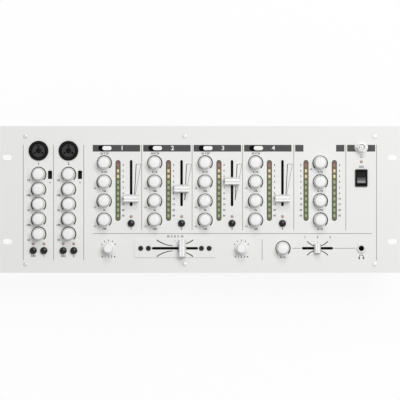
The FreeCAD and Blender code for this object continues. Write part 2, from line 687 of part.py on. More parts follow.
def rocker_frame():
    width, depth = ROCKER_BODY
    bottom = PANEL_TOP - ROCKER_DEPTH
    rim_top = PANEL_TOP + ROCKER_RIM
    outline = rounded(POWER_X, ROCKER_Y, ROCKER_FRAME[0], ROCKER_FRAME[1], PANEL_CORNER, PANEL_TOP)
    frame = slab(outline, [], ROCKER_RIM)
    frame = frame.fuse(block(POWER_X, ROCKER_Y, width, depth, bottom, PANEL_TOP))
    frame = frame.cut(block(POWER_X, ROCKER_Y, width - 2 * ROCKER_WALL, depth - 2 * ROCKER_WALL,
                            bottom + ROCKER_WALL, rim_top))
    axis = V(POWER_X - width, ROCKER_Y, ROCKER_AXIS_Z)
    return frame.cut(Part.makeCylinder(ROCKER_PIN_RADIUS + RUNNING_GAP, 2 * width, axis, V(1, 0, 0)))


def led():
    """A domed lamp that stands through the panel, with the flange that stops it behind."""
    top = PANEL_TOP + LED_RISE
    bottom = PANEL_BACK - POT_FLOOR
    flange = LED_RADIUS + LED_FLANGE
    side = chain((0, bottom), (flange, bottom), (flange, PANEL_BACK), (LED_RADIUS, PANEL_BACK),
                 (LED_RADIUS, top - LED_RADIUS))
    return turned(side + [round_edge(LED_RADIUS, top, LED_RADIUS)] + chain((0, top), (0, bottom)))


def meter():
    """A flush lens in the panel over a bar that carries the row of lamps."""
    lens_bottom = PANEL_TOP - METER_LENS
    room = 2 * SEAT_GAP
    lens = slab(oval(0, 0, METER_WIDTH - room, METER_LENGTH - room, lens_bottom), [], METER_LENS)
    bar = block(0, 0, METER_LED[0], METER_LENGTH - METER_WIDTH, BOARD_TOP, lens_bottom - METER_LENS)
    for n in range(METER_LEDS):
        y = (n - (METER_LEDS - 1) / 2) * METER_PITCH
        bar = bar.fuse(block(0, y, METER_LED[0], METER_LED[1], lens_bottom - METER_LENS, lens_bottom))
    return [lens, bar.removeSplitter()]


def indicator_lights():
    solids = [at(led(), place.x, place.y) for place in light_places()]
    for place in meter_places():
        solids += [at(shape, place.x, place.y) for shape in meter()]
    return Part.makeCompound(solids)


def mic_socket():
    """A combined socket: a ring groove for a round plug's shell round an insert with a jack bore."""
    rim = PANEL_TOP + MIC_FLANGE_RISE
    side = chain((0, PANEL_TOP - MIC_DEPTH), (MIC_BARREL_RADIUS, PANEL_TOP - MIC_DEPTH),
                 (MIC_BARREL_RADIUS, PANEL_TOP), (MIC_FLANGE_RADIUS, PANEL_TOP),
                 (MIC_FLANGE_RADIUS, rim - BUTTON_EDGE))
    crown = chain((MIC_FLANGE_RADIUS - BUTTON_EDGE, rim), (0, rim), (0, PANEL_TOP - MIC_DEPTH))
    body = turned(side + [round_edge(MIC_FLANGE_RADIUS, rim, BUTTON_EDGE)] + crown)
    inner, outer = MIC_RING_RADII
    floor = rim - MIC_RING_DEPTH
    body = body.cut(rod(0, 0, outer, floor, rim).cut(rod(0, 0, inner, floor, rim)))
    body = body.cut(rod(0, 0, outer, rim - MIC_FLANGE_RISE, rim))
    body = body.cut(rod(0, 0, JACK_RADIUS, PANEL_TOP - JACK_DEPTH, rim))
    for angle in (math.pi / 2, math.pi * 7 / 6, math.pi * 11 / 6):
        x = MIC_PIN_CIRCLE * math.cos(angle)
        y = MIC_PIN_CIRCLE * math.sin(angle)
        body = body.cut(rod(x, y, MIC_PIN_RADIUS, floor, rim))
    return body


def phones_socket():
    """A jack socket behind the panel, its threaded bush and the nut on it."""
    rim = PANEL_TOP + PHONES_BUSH_RISE
    body = block(0, 0, PHONES_BODY, PHONES_BODY, PANEL_BACK - MIC_DEPTH, PANEL_BACK)
    body = body.fuse(rod(0, 0, PHONES_BUSH_RADIUS, PANEL_BACK, rim))
    body = body.cut(rod(0, 0, JACK_RADIUS, PANEL_TOP - JACK_DEPTH, rim))
    nut = hexagon(0, 0, PHONES_NUT_RADIUS, PANEL_TOP, PANEL_TOP + PHONES_NUT_HEIGHT)
    return [body, nut.cut(rod(0, 0, PHONES_BUSH_RADIUS, PANEL_TOP, rim))]


def lamp_socket():
    """A bayonet socket for a gooseneck lamp: barrel with two lugs, core with its contact, and nut."""
    top = PANEL_TOP + LAMP_BARREL_RISE
    floor = PANEL_TOP + LAMP_NUT_HEIGHT
    barrel = rod(0, 0, LAMP_BARREL_RADIUS, PANEL_BACK - MIC_DEPTH / 2, top)
    barrel = barrel.fuse(Part.makeCylinder(LAMP_LUG_RADIUS, 2 * LAMP_LUG_REACH,
                                           V(-LAMP_LUG_REACH, 0, (floor + top) / 2), V(1, 0, 0)))
    barrel = barrel.cut(rod(0, 0, LAMP_BARREL_RADIUS - LAMP_BARREL_WALL, floor, top))
    core = rod(0, 0, LAMP_CORE_RADIUS, floor, top - LAMP_LUG_RADIUS)
    core = core.cut(rod(0, 0, LAMP_CONTACT_RADIUS, floor + LAMP_LUG_RADIUS, top))
    nut = hexagon(0, 0, LAMP_NUT_RADIUS, PANEL_TOP, floor)
    nut = nut.cut(rod(0, 0, LAMP_BARREL_RADIUS, PANEL_TOP, floor))
    return [barrel, core, nut]


def phono_pair(x):
    """Two phono sockets on one carrier: each barrel stands on a wider neck that fills the wall's hole."""
    inner = WALL_Y - SHEET
    width, height, depth = PHONO_CARRIER
    solids = [rear_block(x, sum(PHONO_Z) / 2, width, height, inner - depth, inner)]
    for z in PHONO_Z:
        tip = WALL_Y + PHONO_REACH
        shoulder = WALL_Y + PHONO_COLLAR_REACH
        neck = rear_rod(x, z, PHONO_NECK_RADIUS, inner, shoulder)
        barrel = neck.fuse(rear_rod(x, z, PHONO_BARREL_RADIUS, shoulder, tip))
        solids.append(barrel.cut(rear_rod(x, z, PHONO_BORE_RADIUS, inner, tip)))
        collar = rear_rod(x, z, PHONO_COLLAR_RADIUS, WALL_Y, shoulder)
        solids.append(collar.cut(rear_rod(x, z, PHONO_NECK_RADIUS, WALL_Y, shoulder)))
    return solids


def mains_inlet():
    """A three-blade inlet: flange outside the wall, cavity with two bevelled corners, blades on its floor."""
    mouth = WALL_Y + INLET_FLANGE[2]
    back = mouth - INLET_DEPTH - INLET_FLOOR
    body = rear_block(INLET_X, INLET_Z, INLET_FLANGE[0], INLET_FLANGE[1], WALL_Y, mouth)
    body = body.fuse(rear_block(INLET_X, INLET_Z, INLET_BODY[0], INLET_BODY[1], back, WALL_Y))
    cavity = rear_block(INLET_X, INLET_Z, INLET_CAVITY[0], INLET_CAVITY[1], mouth - INLET_DEPTH, mouth)
    bevels = [e for e in cavity.Edges if e.BoundBox.YLength > INLET_DEPTH / 2 and e.BoundBox.ZMin > INLET_Z]
    body = body.cut(cavity.makeChamfer(INLET_CORNER, bevels))
    blades = []
    for dx, dz in ((-BLADE_SPACING / 2, 0), (BLADE_SPACING / 2, 0), (0, BLADE_RISE)):
        blades.append(rear_block(INLET_X + dx, INLET_Z + dz, BLADE_SIZE[0], BLADE_SIZE[1],
                                 mouth - INLET_DEPTH, mouth - BLADE_SETBACK))
    return [body] + blades


def earth_post():
    """An earth terminal: a stud through the wall with a thumb nut."""
    tip = WALL_Y + EARTH_REACH
    stud = rear_rod(EARTH_X, EARTH_Z, EARTH_STUD_RADIUS, WALL_Y - SHEET - EARTH_NUT_RADIUS, tip)
    nut = rear_rod(EARTH_X, EARTH_Z, EARTH_NUT_RADIUS, WALL_Y, tip - EARTH_STUD_RADIUS)
    return [stud, nut.cut(rear_rod(EARTH_X, EARTH_Z, EARTH_STUD_RADIUS, WALL_Y, tip))]


def sockets():
    solids = [at(mic_socket(), x, MIC_SOCKET_Y) for x in MIC_X]
    solids += [at(shape, POWER_X, LOWER_Y) for shape in phones_socket()]
    solids += [at(shape, POWER_X, LAMP_Y) for shape in lamp_socket()]
    for x in PHONO_X:
        solids += phono_pair(x)
    return Part.makeCompound(solids + mains_inlet() + earth_post() + [rocker_frame()])


def boards():
    """Board outlines as left, right, front and rear, each just wider than the bodies it carries."""
    half = POT_SIZE / 2 + BOARD_MARGIN
    rear = SOURCE_Y + SWITCH_SIZE / 2 + BOARD_MARGIN
    front = CUE_BUTTON_Y - SWITCH_SIZE / 2 - BOARD_MARGIN
    mode_half = (MODE_WINDOW[0] + PLUNGER_SIZE) / 2 + BOARD_MARGIN
    mic_front = MIC_BUTTON_Y - SWITCH_SIZE / 2 - BOARD_MARGIN
    mic = (MIC_X[0] - half, MIC_X[-1] + MIC_MODE_DX + mode_half, mic_front,
           MIC_SOCKET_Y - MIC_FLANGE_RADIUS - BOARD_MARGIN)
    last = CHANNEL_X + (CHANNEL_COUNT - 1) * CHANNEL_PITCH
    channel_left = CHANNEL_X - SOURCE_SLOT[0] / 2 - BOARD_MARGIN - PILLAR_INSET
    channel = (channel_left, last + FADER_DX + half, front, rear)
    master = (MASTER_X - MASTER_METER_DX - half, MASTER_X + MASTER_METER_DX + half, front, rear)
    assign = CROSS_X - ASSIGN_DX
    left = (assign - half - PILLAR_INSET, assign + half + PILLAR_INSET, LOWER_Y - half, LOWER_Y + half)
    right = (CROSS_X + ASSIGN_DX - half - PILLAR_INSET, PHONES_FADER_X + PHONES_TRAVEL / 2 + 2 * half,
             LOWER_Y - half, LOWER_Y + half)
    return [mic, channel, master, left, right]


def board(left, right, front, rear):
    """One board and the pillars at its corners that hang it from the panel."""
    middle_x = (left + right) / 2
    middle_y = (front + rear) / 2
    solids = [block(middle_x, middle_y, right - left, rear - front, BOARD_TOP - BOARD_THICKNESS, BOARD_TOP)]
    for x in (left + PILLAR_INSET, right - PILLAR_INSET):
        for y in (front + PILLAR_INSET, rear - PILLAR_INSET):
            solids.append(rod(x, y, PILLAR_RADIUS, BOARD_TOP, PANEL_BACK))
    return solids


def mains_supply():
    """The transformer, its coil through a core of two legs, on a board that stands on the chassis floor."""
    x, y = MAINS_CENTRE
    top = SHEET + MAINS_BOARD_LIFT + BOARD_THICKNESS
    solids = [block(x, y, MAINS_BOARD[0], MAINS_BOARD[1], SHEET + MAINS_BOARD_LIFT, top)]
    for sx, sy in CORNERS:
        foot_x = x + sx * (MAINS_BOARD[0] / 2 - PILLAR_INSET)
        foot_y = y + sy * (MAINS_BOARD[1] / 2 - PILLAR_INSET)
        solids.append(rod(foot_x, foot_y, PILLAR_RADIUS, SHEET, SHEET + MAINS_BOARD_LIFT))
    lift = top + (COIL_SIZE[2] - CORE_SIZE[2]) / 2
    core = block(x, y, CORE_SIZE[0], CORE_SIZE[1], lift, lift + CORE_SIZE[2])
    coil = block(x, y, COIL_SIZE[0], COIL_SIZE[1], top, top + COIL_SIZE[2])
    return solids + [coil, core.cut(coil)]


def control_board():
    solids = mains_supply()
    for outline in boards():
        solids += board(*outline)
    solids += [at(rotary_body(), place.x, place.y) for place in knob_places() + assign_places()]
    solids += [placed_fader(fader_rail(fader), fader, 0) for fader in faders()]
    solids += [at(source_body(), place.x, place.y) for place in channel_places(SOURCE_DX, SOURCE_Y, "source")]
    solids += [at(mode_body(), place.x, place.y) for place in mode_places()]
    solids += [at(button_body(), place.x, place.y) for place in button_places()]
    return Part.makeCompound(solids)


def nodes():
    """Every piece by its name: first what stays still, then each control on its own."""
    found = {"front_panel": front_panel(), "chassis": chassis(), "crossfader_plate": crossfader_plate(),
             "control_board": control_board(), "indicator_lights": indicator_lights(), "sockets": sockets(),
             "power_rocker": rocker()}
    for place in knob_places():
        found[place.name] = at(Part.makeCompound([knob_cap(), shaft()]), place.x, place.y)
    for place in assign_places():
        found[place.name] = at(Part.makeCompound([assign_cap(), shaft()]), place.x, place.y)
    for fader in faders():
        pair = Part.makeCompound([fader_cap(fader), fader_slider(fader)])
        found[fader.name] = placed_fader(pair, fader, fader.rest)
    for place in channel_places(SOURCE_DX, SOURCE_Y, "source_switch"):
        found[place.name] = at(source_cap(), place.x + SOURCE_TRAVEL / 2, place.y)
    for place in mode_places():
        found[place.name] = at(mode_cap(), place.x, place.y - MODE_TRAVEL / 2)
    for place in button_places():
        found[place.name] = at(button_cap(), place.x, place.y)
    return found


def main():
    os.makedirs("parts", exist_ok=True)
    for name, shape in nodes().items():
        shape.exportStep(f"parts/{name}.step")


if __name__ == "__main__":
    main()
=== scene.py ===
"""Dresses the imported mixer: finishes on the CAD nodes, printed marks, small screws and the stage."""

import json
import math

import bpy
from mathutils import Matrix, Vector


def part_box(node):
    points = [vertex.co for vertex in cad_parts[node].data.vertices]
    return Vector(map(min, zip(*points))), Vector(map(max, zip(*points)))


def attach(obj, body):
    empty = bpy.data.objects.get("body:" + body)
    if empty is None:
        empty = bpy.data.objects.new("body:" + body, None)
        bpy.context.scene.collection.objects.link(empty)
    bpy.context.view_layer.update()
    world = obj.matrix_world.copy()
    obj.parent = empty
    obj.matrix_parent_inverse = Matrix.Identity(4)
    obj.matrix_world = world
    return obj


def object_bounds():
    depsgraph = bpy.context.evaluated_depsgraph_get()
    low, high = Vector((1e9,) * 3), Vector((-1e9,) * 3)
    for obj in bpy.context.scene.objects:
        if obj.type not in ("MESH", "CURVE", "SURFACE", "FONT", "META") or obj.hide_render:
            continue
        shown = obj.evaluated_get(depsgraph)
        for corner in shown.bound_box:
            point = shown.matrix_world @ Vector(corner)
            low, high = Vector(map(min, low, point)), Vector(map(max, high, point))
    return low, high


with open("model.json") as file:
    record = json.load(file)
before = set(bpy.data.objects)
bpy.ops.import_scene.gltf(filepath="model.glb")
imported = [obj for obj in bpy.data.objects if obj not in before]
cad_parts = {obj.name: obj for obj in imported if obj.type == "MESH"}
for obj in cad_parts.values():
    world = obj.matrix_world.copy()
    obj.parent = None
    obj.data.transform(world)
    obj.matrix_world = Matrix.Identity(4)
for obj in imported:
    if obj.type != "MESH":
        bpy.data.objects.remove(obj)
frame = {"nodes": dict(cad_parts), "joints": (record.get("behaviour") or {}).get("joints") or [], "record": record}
CAD_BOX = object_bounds()

bl_info = {
    "name": "DJ mixer finish",
    "version": (1, 0, 0),
    "blender": (4, 5, 0),
    "location": "View3D > Sidebar > Mixer",
    "description": "Finishes, printed marks, screws and stage for a rack DJ mixer",
    "category": "Object",
}

MM = 0.001
ROOT_BODY = "mixer"
CHANNELS = (1, 2, 3, 4)
MIC_COLUMNS = (1, 2)
EQ_ROWS = ("high", "mid", "low")
ASSIGN_KNOBS = ("crossfader_assign_a_knob", "crossfader_assign_b_knob")
CHANNEL_FADERS = tuple(f"ch{c}_fader" for c in CHANNELS)
FADERS = (*CHANNEL_FADERS, "crossfader", "phones_mix_fader")
METER_LEVELS = ("9", "6", "3", "0", "3", "6", "10", "15", "20", "30")
METER_ZONES = {"red": range(0, 1), "amber": range(1, 3), "green": range(3, 10)}
SELECTOR_STEPS = range(-2, 3)
PANEL_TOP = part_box("front_panel")[1].z
PLATE_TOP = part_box("crossfader_plate")[1].z
# The margin in tests of place, and the distance within which points merge.
SKIN = 0.05 * MM
MERGE = 0.001 * MM
# How strongly a finish follows its noise, and between which values of it.
NOISE_DETAIL = 4.0
NOISE_SPAN = (0.3, 0.7)
BUMP_STRENGTH = 0.6
# Steps along the printed curves, and the sides and the smooth edges of a screw's head.
ARC_STEPS = 36
CURVE_STEPS = 24
END_STEPS = 16
SCREW_SIDES = 40
SMOOTH_ANGLE = math.radians(35)
# Every finish, by its name.
MATERIALS = {}


def linear(hex_colour):
    """A linear RGB colour from an sRGB hex string."""
    out = []
    for i in (0, 2, 4):
        c = int(hex_colour[i:i + 2], 16) / 255
        out.append(c / 12.92 if c <= 0.04045 else ((c + 0.055) / 1.055) ** 2.4)
    return tuple(out)


# Places read from the frame

def centre(node):
    """The middle of a CAD node's box, in metres."""
    lo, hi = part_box(node)
    return (lo + hi) / 2


def mount_point(name):
    """Where a mount of the record sits, in metres."""
    for mount in frame["record"]["mounts"]:
        if mount["name"] == name:
            return Vector(mount["pos_m"])
    raise KeyError(name)


def phono_points():
    """Where every phono socket of the rear wall sits."""
    return [mount_point(m["name"]) for m in frame["record"]["mounts"] if "phono" in m["name"]]


def spot(node, dx=0.0, dy=0.0):
    """A place on the panel's face, counted from the middle of a CAD node; its height is above the face."""
    middle = centre(node)
    return Vector((middle.x + dx, middle.y + dy, 0))


def slot_of(node):
    """The middle, the direction and the travel of a sliding piece's slot, from its joint."""
    for joint in frame["joints"]:
        if joint["child"] == node:
            low, high = joint["range_m"]
            along = Vector(joint["axis"])
            middle = spot(node) + along * (low + high) / 2
            if node == "crossfader":
                middle.z = PLATE_TOP - PANEL_TOP
            return middle, along, high - low
    raise KeyError(node)


def rocker_crest():
    """The y where the two halves of the rocker meet."""
    return centre("power_rocker").y + bpy.context.scene.mixer_regions.rocker_crest


def dial_nodes():
    """The name of every knob with a printed arc, and whether the arc is a wedge or even to both sides."""
    out = {}
    for mic in MIC_COLUMNS:
        out[f"mic{mic}_gain_knob"] = "wedge"
        out[f"mic{mic}_level_knob"] = "wedge"
        for row in EQ_ROWS:
            out[f"mic{mic}_{row}_knob"] = "even"
    for channel in CHANNELS:
        out[f"ch{channel}_gain_knob"] = "wedge"
        for row in EQ_ROWS:
            out[f"ch{channel}_{row}_knob"] = "even"
    out["master_balance_knob"] = "even"
    for name in ("zone", "booth", "level"):
        out[f"master_{name}_knob"] = "wedge"
    out["phones_level_knob"] = "wedge"
    return out


def meter_columns():
    """The x of each meter: four channels, then the two of the master strip."""
    props = bpy.context.scene.mixer_meter
    master = centre("master_level_knob").x
    columns = [centre(f"ch{c}_gain_knob").x + props.channel_reach for c in CHANNELS]
    return columns + [master - props.master_reach, master + props.master_reach]


def meter_row(row):
    """The y of a meter's segment, counted from the top."""
    props = bpy.context.scene.mixer_meter
    return props.middle + ((len(METER_LEVELS) - 1) / 2 - row) * props.pitch


# Settings

def length_prop(name, description, millimetres):
    """A length setting, written in millimetres and kept in metres."""
    return bpy.props.FloatProperty(
        name=name, description=description, default=millimetres * MM,
        min=0.0, precision=5, subtype="DISTANCE", unit="LENGTH")


def angle_prop(name, description, degrees):
    """An angle setting, written in degrees and kept in radians."""
    return bpy.props.FloatProperty(
        name=name, description=description, default=math.radians(degrees),
        subtype="ANGLE", unit="ROTATION")


def colour_prop(name, description, hex_colour):
    """A colour setting, written as sRGB hex and kept linear."""
    return bpy.props.FloatVectorProperty(
        name=name, description=description, default=linear(hex_colour),
        size=3, min=0.0, max=1.0, subtype="COLOR")


def place_prop(name, description, metres):
    """The place of a lamp, in metres."""
    return bpy.props.FloatVectorProperty(
        name=name, description=description, default=metres, size=3, subtype="XYZ", unit="LENGTH")


def power_prop(name, description, watts):
    """The power of a lamp."""
    return bpy.props.FloatProperty(
        name=name, description=description, default=watts, min=0.0, subtype="POWER")


def plain_prop(name, description, value):
    """A setting with no unit."""
    return bpy.props.FloatProperty(name=name, description=description, default=value, min=0.0)


class MixerColours(bpy.types.PropertyGroup):
    """Colours of the finishes."""
    panel: colour_prop("Panel paint", "Paint of the front panel and the crossfader plate", "DFDFDD")
    knob: colour_prop("Knob plastic", "Plastic of the knobs and fader caps", "EAEAEA")
    black: colour_prop("Black plastic", "Plastic of frames and slide switches", "0A0A0B")
    # On the rocker this colour is painted sheen: only its lower half takes it, lighter than the black above the
    # crest.
    satin: colour_prop("Satin plastic", "Plastic of the rocker and the sockets", "1A1A1B")
    button: colour_prop("Button plastic", "Plastic of the round buttons", "0A0A0B")
    case: colour_prop("Powder coat", "Coat of the steel case", "1B1B1C")
    nickel: colour_prop("Nickel", "Plate of the sockets", "C2C2C0")
    zinc: colour_prop("Zinc", "Plate of the panel screws and stems", "BEC0C2")
    oxide: colour_prop("Black oxide", "Finish of the dark screws", "1B1B1B")
    black_ink: colour_prop("Black ink", "Ink of the figures, arcs and signs", "191919")
    bar_ink: colour_prop("Bar ink", "Ink of the header bars", "343435")
    line_ink: colour_prop("Line ink", "Ink of the dividing lines", "727272")
    white_ink: colour_prop("White ink", "Ink of the channel numbers", "EDEDEB")
    lamp: colour_prop("Lamp plastic", "Plastic of the small red lamps", "BC9892")
    mask: colour_prop("Solder mask", "Mask of the circuit board", "174223")
    red_collar: colour_prop("Red collar", "Collar of a right phono socket", "AA2220")
    white_collar: colour_prop("White collar", "Collar of a left phono socket", "DEDEDA")
    lens_low: colour_prop("Lens, low", "Tint of a meter lens along its lower part", "5A6240")
    lens_middle: colour_prop("Lens, middle", "Tint of a meter lens near its top", "6E6644")
    lens_high: colour_prop("Lens, high", "Tint of a meter lens at its top", "72564A")
    edge: colour_prop("Meter rim", "Rim of a meter lens", "323324")
    red: colour_prop("Red segment", "Meter segment above the scale's limit", "86705F")
    amber: colour_prop("Amber segment", "Meter segment near the scale's limit", "DCCCA6")
    green: colour_prop("Green segment", "Meter segment of the usual range", "99A17C")


class MixerLines(bpy.types.PropertyGroup):
    """Sizes of the printed lines, the header bars, the painted shade round the fader slots, and the slots that
    these go round.
    """
    ink: length_prop("Ink", "Thickness of the printed ink", 0.05)
    rule: length_prop("Rule", "Width of the dividing lines", 0.6)
    strip_half: length_prop("Strip half", "Half the width of a microphone strip or the mains strip", 18.4)
    channel_edge: length_prop("Channel edge", "From a channel's knobs to the line on its right", 45.3)
    master_left: length_prop("Master left", "From the master knobs to the line on their left", 31.9)
    master_right: length_prop("Master right", "From the master knobs to the line on their right", 30.9)
    foot_gap: length_prop("Foot gap", "From the channel lines' feet to the long line below", 4.3)
    long_rise: length_prop("Long line rise", "From the lower row's middle up to the long line", 17.7)
    long_reach: length_prop("Long line reach", "How far the long line passes the outer controls", 13.0)
    lower_rise: length_prop("Lower line rise", "From the lower row's middle up to its dividing line", 10.6)
    lower_drop: length_prop("Lower line drop", "From the lower row's middle to the lines' feet", 14.5)
    lead_gap: length_prop("Lead gap", "Gap between a lead line and the control beside it", 1.5)
    header: length_prop("Header", "Height of a header bar", 8.1)
    header_left: length_prop("Header left", "From a channel's knobs to the bar's left end", 13.7)
    header_length: length_prop("Header length", "Length of a channel's header bar", 57.2)
    header_gap: length_prop("Header gap", "From a dividing line to the bar beside it", 1.7)
    short_bar: length_prop("Short bar", "Length of a master header bar", 10.0)
    lamp_clear: length_prop("Lamp clearance", "Radius left bare round the lamp socket", 8.0)
    switch_length: length_prop("Switch slot length", "Length of a source switch's slot", 17.0)
    switch_width: length_prop("Switch slot width", "Width of a source switch's slot", 6.6)
    fader_width: length_prop("Fader slot width", "Width of a fader's slot", 2.7)
    fader_spare: length_prop("Fader slot spare", "Length of a fader's slot beyond its travel", 10.3)
    # Painted shade: the width of the black ink band round a fader's slot.
    fader_border: length_prop("Fader slot border", "Width of the ink round a fader's slot", 0.25)


class MixerDials(bpy.types.PropertyGroup):
    """Sizes of the printed dials."""
    arc_gap: length_prop("Arc gap", "Gap from a knob to its printed arc", 0.6)
    arc_thin: length_prop("Arc thin end", "Width of an arc's thin end", 0.7)
    arc_thick: length_prop("Arc thick end", "Width of an arc's thick end", 1.6)
    arc_turn: angle_prop("Arc turn", "Turn from an arc's middle to its end", 136)
    tick_start: length_prop("Tick start", "Radius of a selector's ticks inside", 8.5)
    tick_end: length_prop("Tick end", "Radius of a selector's ticks outside", 10.6)
    tick_width: length_prop("Tick width", "Width of a selector's ticks", 0.7)
    tick_turn: angle_prop("Tick turn", "Turn between a selector's ticks", 30)


class MixerFigures(bpy.types.PropertyGroup):
    """Sizes and places of the printed figures."""
    bold: plain_prop("Boldness", "Share of its size by which a figure's strokes grow", 0.03)
    size: length_prop("Figures", "Height setting of the figures", 3.5)
    small: length_prop("Small figures", "Height setting of the smallest figures", 2.8)
    scale: length_prop("Scale figures", "Height setting of the meter and gain scales", 3.15)
    socket: length_prop("Socket figures", "Height setting of the microphone numbers", 4.2)
    header: length_prop("Header figures", "Height setting of the channel numbers", 7.4)
    knob_drop: length_prop("Below a knob", "From a knob's middle to the figure below it", 11.0)
    knob_rise: length_prop("Above a knob", "From a gain knob's middle to the scale above it", 11.2)
    knob_side: length_prop("Beside a knob", "From a tone knob's middle to the figure at its left", 11.4)
    side_drop: length_prop("Beside a knob, drop", "How far that figure sits below the middle", 7.9)
    mic_side: length_prop("Beside a mic knob", "From a microphone knob's middle to its figure", 12.2)
    mic_drop: length_prop("Beside a mic knob, drop", "How far that figure sits below the middle", 7.3)
    socket_drop: length_prop("Below a socket", "From a microphone socket to its number", 15.6)
    button_drop: length_prop("Below a button", "From a button to its figure", 6.7)
    switch_reach: length_prop("Beside a switch", "From a slide switch to its figures", 7.6)
    selector_drop: length_prop("Below a selector", "From a selector knob to its figures", 10.2)
    rocker_rise: length_prop("Above the rocker", "From the rocker to its word", 13.4)
    cross_rise: length_prop("Above the crossfader", "From the crossfader to its scale", 14.2)
    phones_rise: length_prop("Above the phones fader", "From the phones fader to its figures", 13.2)
    phones_reach: length_prop("Phones figure reach", "From the fader's middle to its end figures", 15.2)
    header_shift: length_prop("Channel number shift", "From a channel's knobs to its number", 21.7)
    meter_gap: length_prop("Beside a meter", "From a meter's middle to its scale", 6.2)


class MixerSigns(bpy.types.PropertyGroup):
    """Sizes of the printed signs."""
    wedge_low: length_prop("Wedge foot", "From a fader slot's middle down to its wedge's foot", 20.5)
    wedge_high: length_prop("Wedge head", "From a fader slot's middle up to its wedge's head", 22.9)
    wedge_start: length_prop("Wedge start", "From a fader's slot to its wedge at the foot", 3.8)
    wedge_left: length_prop("Wedge left", "From a fader's slot to its wedge's left side", 6.1)
    wedge_right: length_prop("Wedge right", "From a fader's slot to its wedge's right side", 11.9)
    bold: length_prop("Bold line", "Width of a wedge's bold side", 0.9)
    fine: length_prop("Fine line", "Width of a wedge's fine sides", 0.4)
    curve: length_prop("Curve", "Width of a fading curve", 0.8)
    curve_start: plain_prop("Curve start", "Share of a curve's reach that is bare in the middle", 0.12)
    curve_low: plain_prop("Curve low end", "Share of a curve's rise at its low end", 0.3)
    tick_low: plain_prop("Tick foot", "Foot of the tick between curves, as a share of their rise", 0.86)
    tick_high: plain_prop("Tick head", "Head of the tick between curves, as a share of their rise", 1.1)
    cross_reach: length_prop("Crossfader curves", "Reach of the crossfader's curves", 22.0)
    cross_rise: length_prop("Crossfader curve rise", "Rise of the crossfader's curves", 9.2)
    phones_reach: length_prop("Phones curves", "Reach of the phones fader's curves", 12.6)
    phones_rise: length_prop("Phones curve rise", "Rise of the phones fader's curves", 7.6)
    bulb_drop: length_prop("Bulb drop", "From the lamp socket to the bulb sign", 10.2)
    bulb_radius: length_prop("Bulb", "Inner radius of the bulb sign", 1.3)
    cap_drop: length_prop("Bulb cap drop", "From the bulb's middle to its cap", 2.2)
    cap_width: length_prop("Bulb cap", "Width of the bulb's cap", 1.6)
    cap_height: length_prop("Bulb cap height", "Height of the bulb's cap", 0.6)
    phones_drop: length_prop("Headphones drop", "From the headphone socket to its sign", 10.7)
    band_radius: length_prop("Headphones band", "Inner radius of the sign's band", 2.3)
    pad_reach: length_prop("Ear pad reach", "From the sign's middle to an ear pad", 2.5)
    pad_width: length_prop("Ear pad width", "Width of an ear pad", 1.7)
    pad_height: length_prop("Ear pad height", "Height of an ear pad", 2.4)


class MixerMeter(bpy.types.PropertyGroup):
    """Sizes of the level meters."""
    channel_reach: length_prop("Channel meter", "From a channel's knobs to its meter", 16.8)
    master_reach: length_prop("Master meter", "From the master knobs to each of their meters", 17.1)
    length: length_prop("Length", "Length of a meter lens", 73.5)
    middle: length_prop("Middle", "Middle of a meter from the panel's middle", 10.85)
    lens: length_prop("Lens", "Width of a meter lens", 6.2)
    edge: length_prop("Edge", "Width of a meter's dark rim", 0.8)
    pitch: length_prop("Pitch", "Distance between segments", 6.76)
    width: length_prop("Segment width", "Width of a segment", 2.5)
    height: length_prop("Segment height", "Height of a segment", 3.7)


class MixerScrews(bpy.types.PropertyGroup):
    """Sizes and places of the screws."""
    bevel: plain_prop("Bevel", "Share of a head's height that is rounded off", 0.45)
    cross_length: plain_prop("Cross length", "Length of a cross, in head radii", 1.2)
    cross_width: plain_prop("Cross width", "Width of a cross, in head radii", 0.24)
    cross_turn: angle_prop("Cross turn", "Turn of a cross from the panel's sides", 20)
    panel_radius: length_prop("Panel screw", "Head radius of a panel screw", 2.4)
    panel_height: length_prop("Panel screw height", "Head height of a small screw", 0.8)
    panel_recess: length_prop("Panel screw recess", "Depth of a small screw's cross", 0.4)
    panel_side: length_prop("Panel screw side", "From the panel's ends to the outer screws", 30.5)
    panel_upper: length_prop("Upper screws", "From the panel's rear edge to its screws", 12.3)
    panel_lower: length_prop("Lower screws", "From the panel's front edge to its screws", 10.3)
    panel_middle: length_prop("Middle screws", "From the panel's middle left to its screws", 18.6)
    plate_radius: length_prop("Plate screw", "Head radius of a crossfader plate screw", 3.0)
    plate_height: length_prop("Plate screw height", "Head height of a plate screw", 1.4)
    plate_recess: length_prop("Plate screw recess", "Depth of a plate screw's cross", 0.8)
    plate_inner: length_prop("Inner plate screws", "From the plate's middle to the rail's screws", 32.0)
    plate_outer: length_prop("Outer plate screws", "From the plate's middle to its own screws", 41.25)
    rear_radius: length_prop("Rear screw", "Head radius of a screw on the rear wall", 2.0)
    rear_wall: length_prop("Rear wall", "Distance of the rear wall from the middle", 74.5)
    inlet_reach: length_prop("Inlet screws", "From the mains inlet's middle to its screws", 16.4)


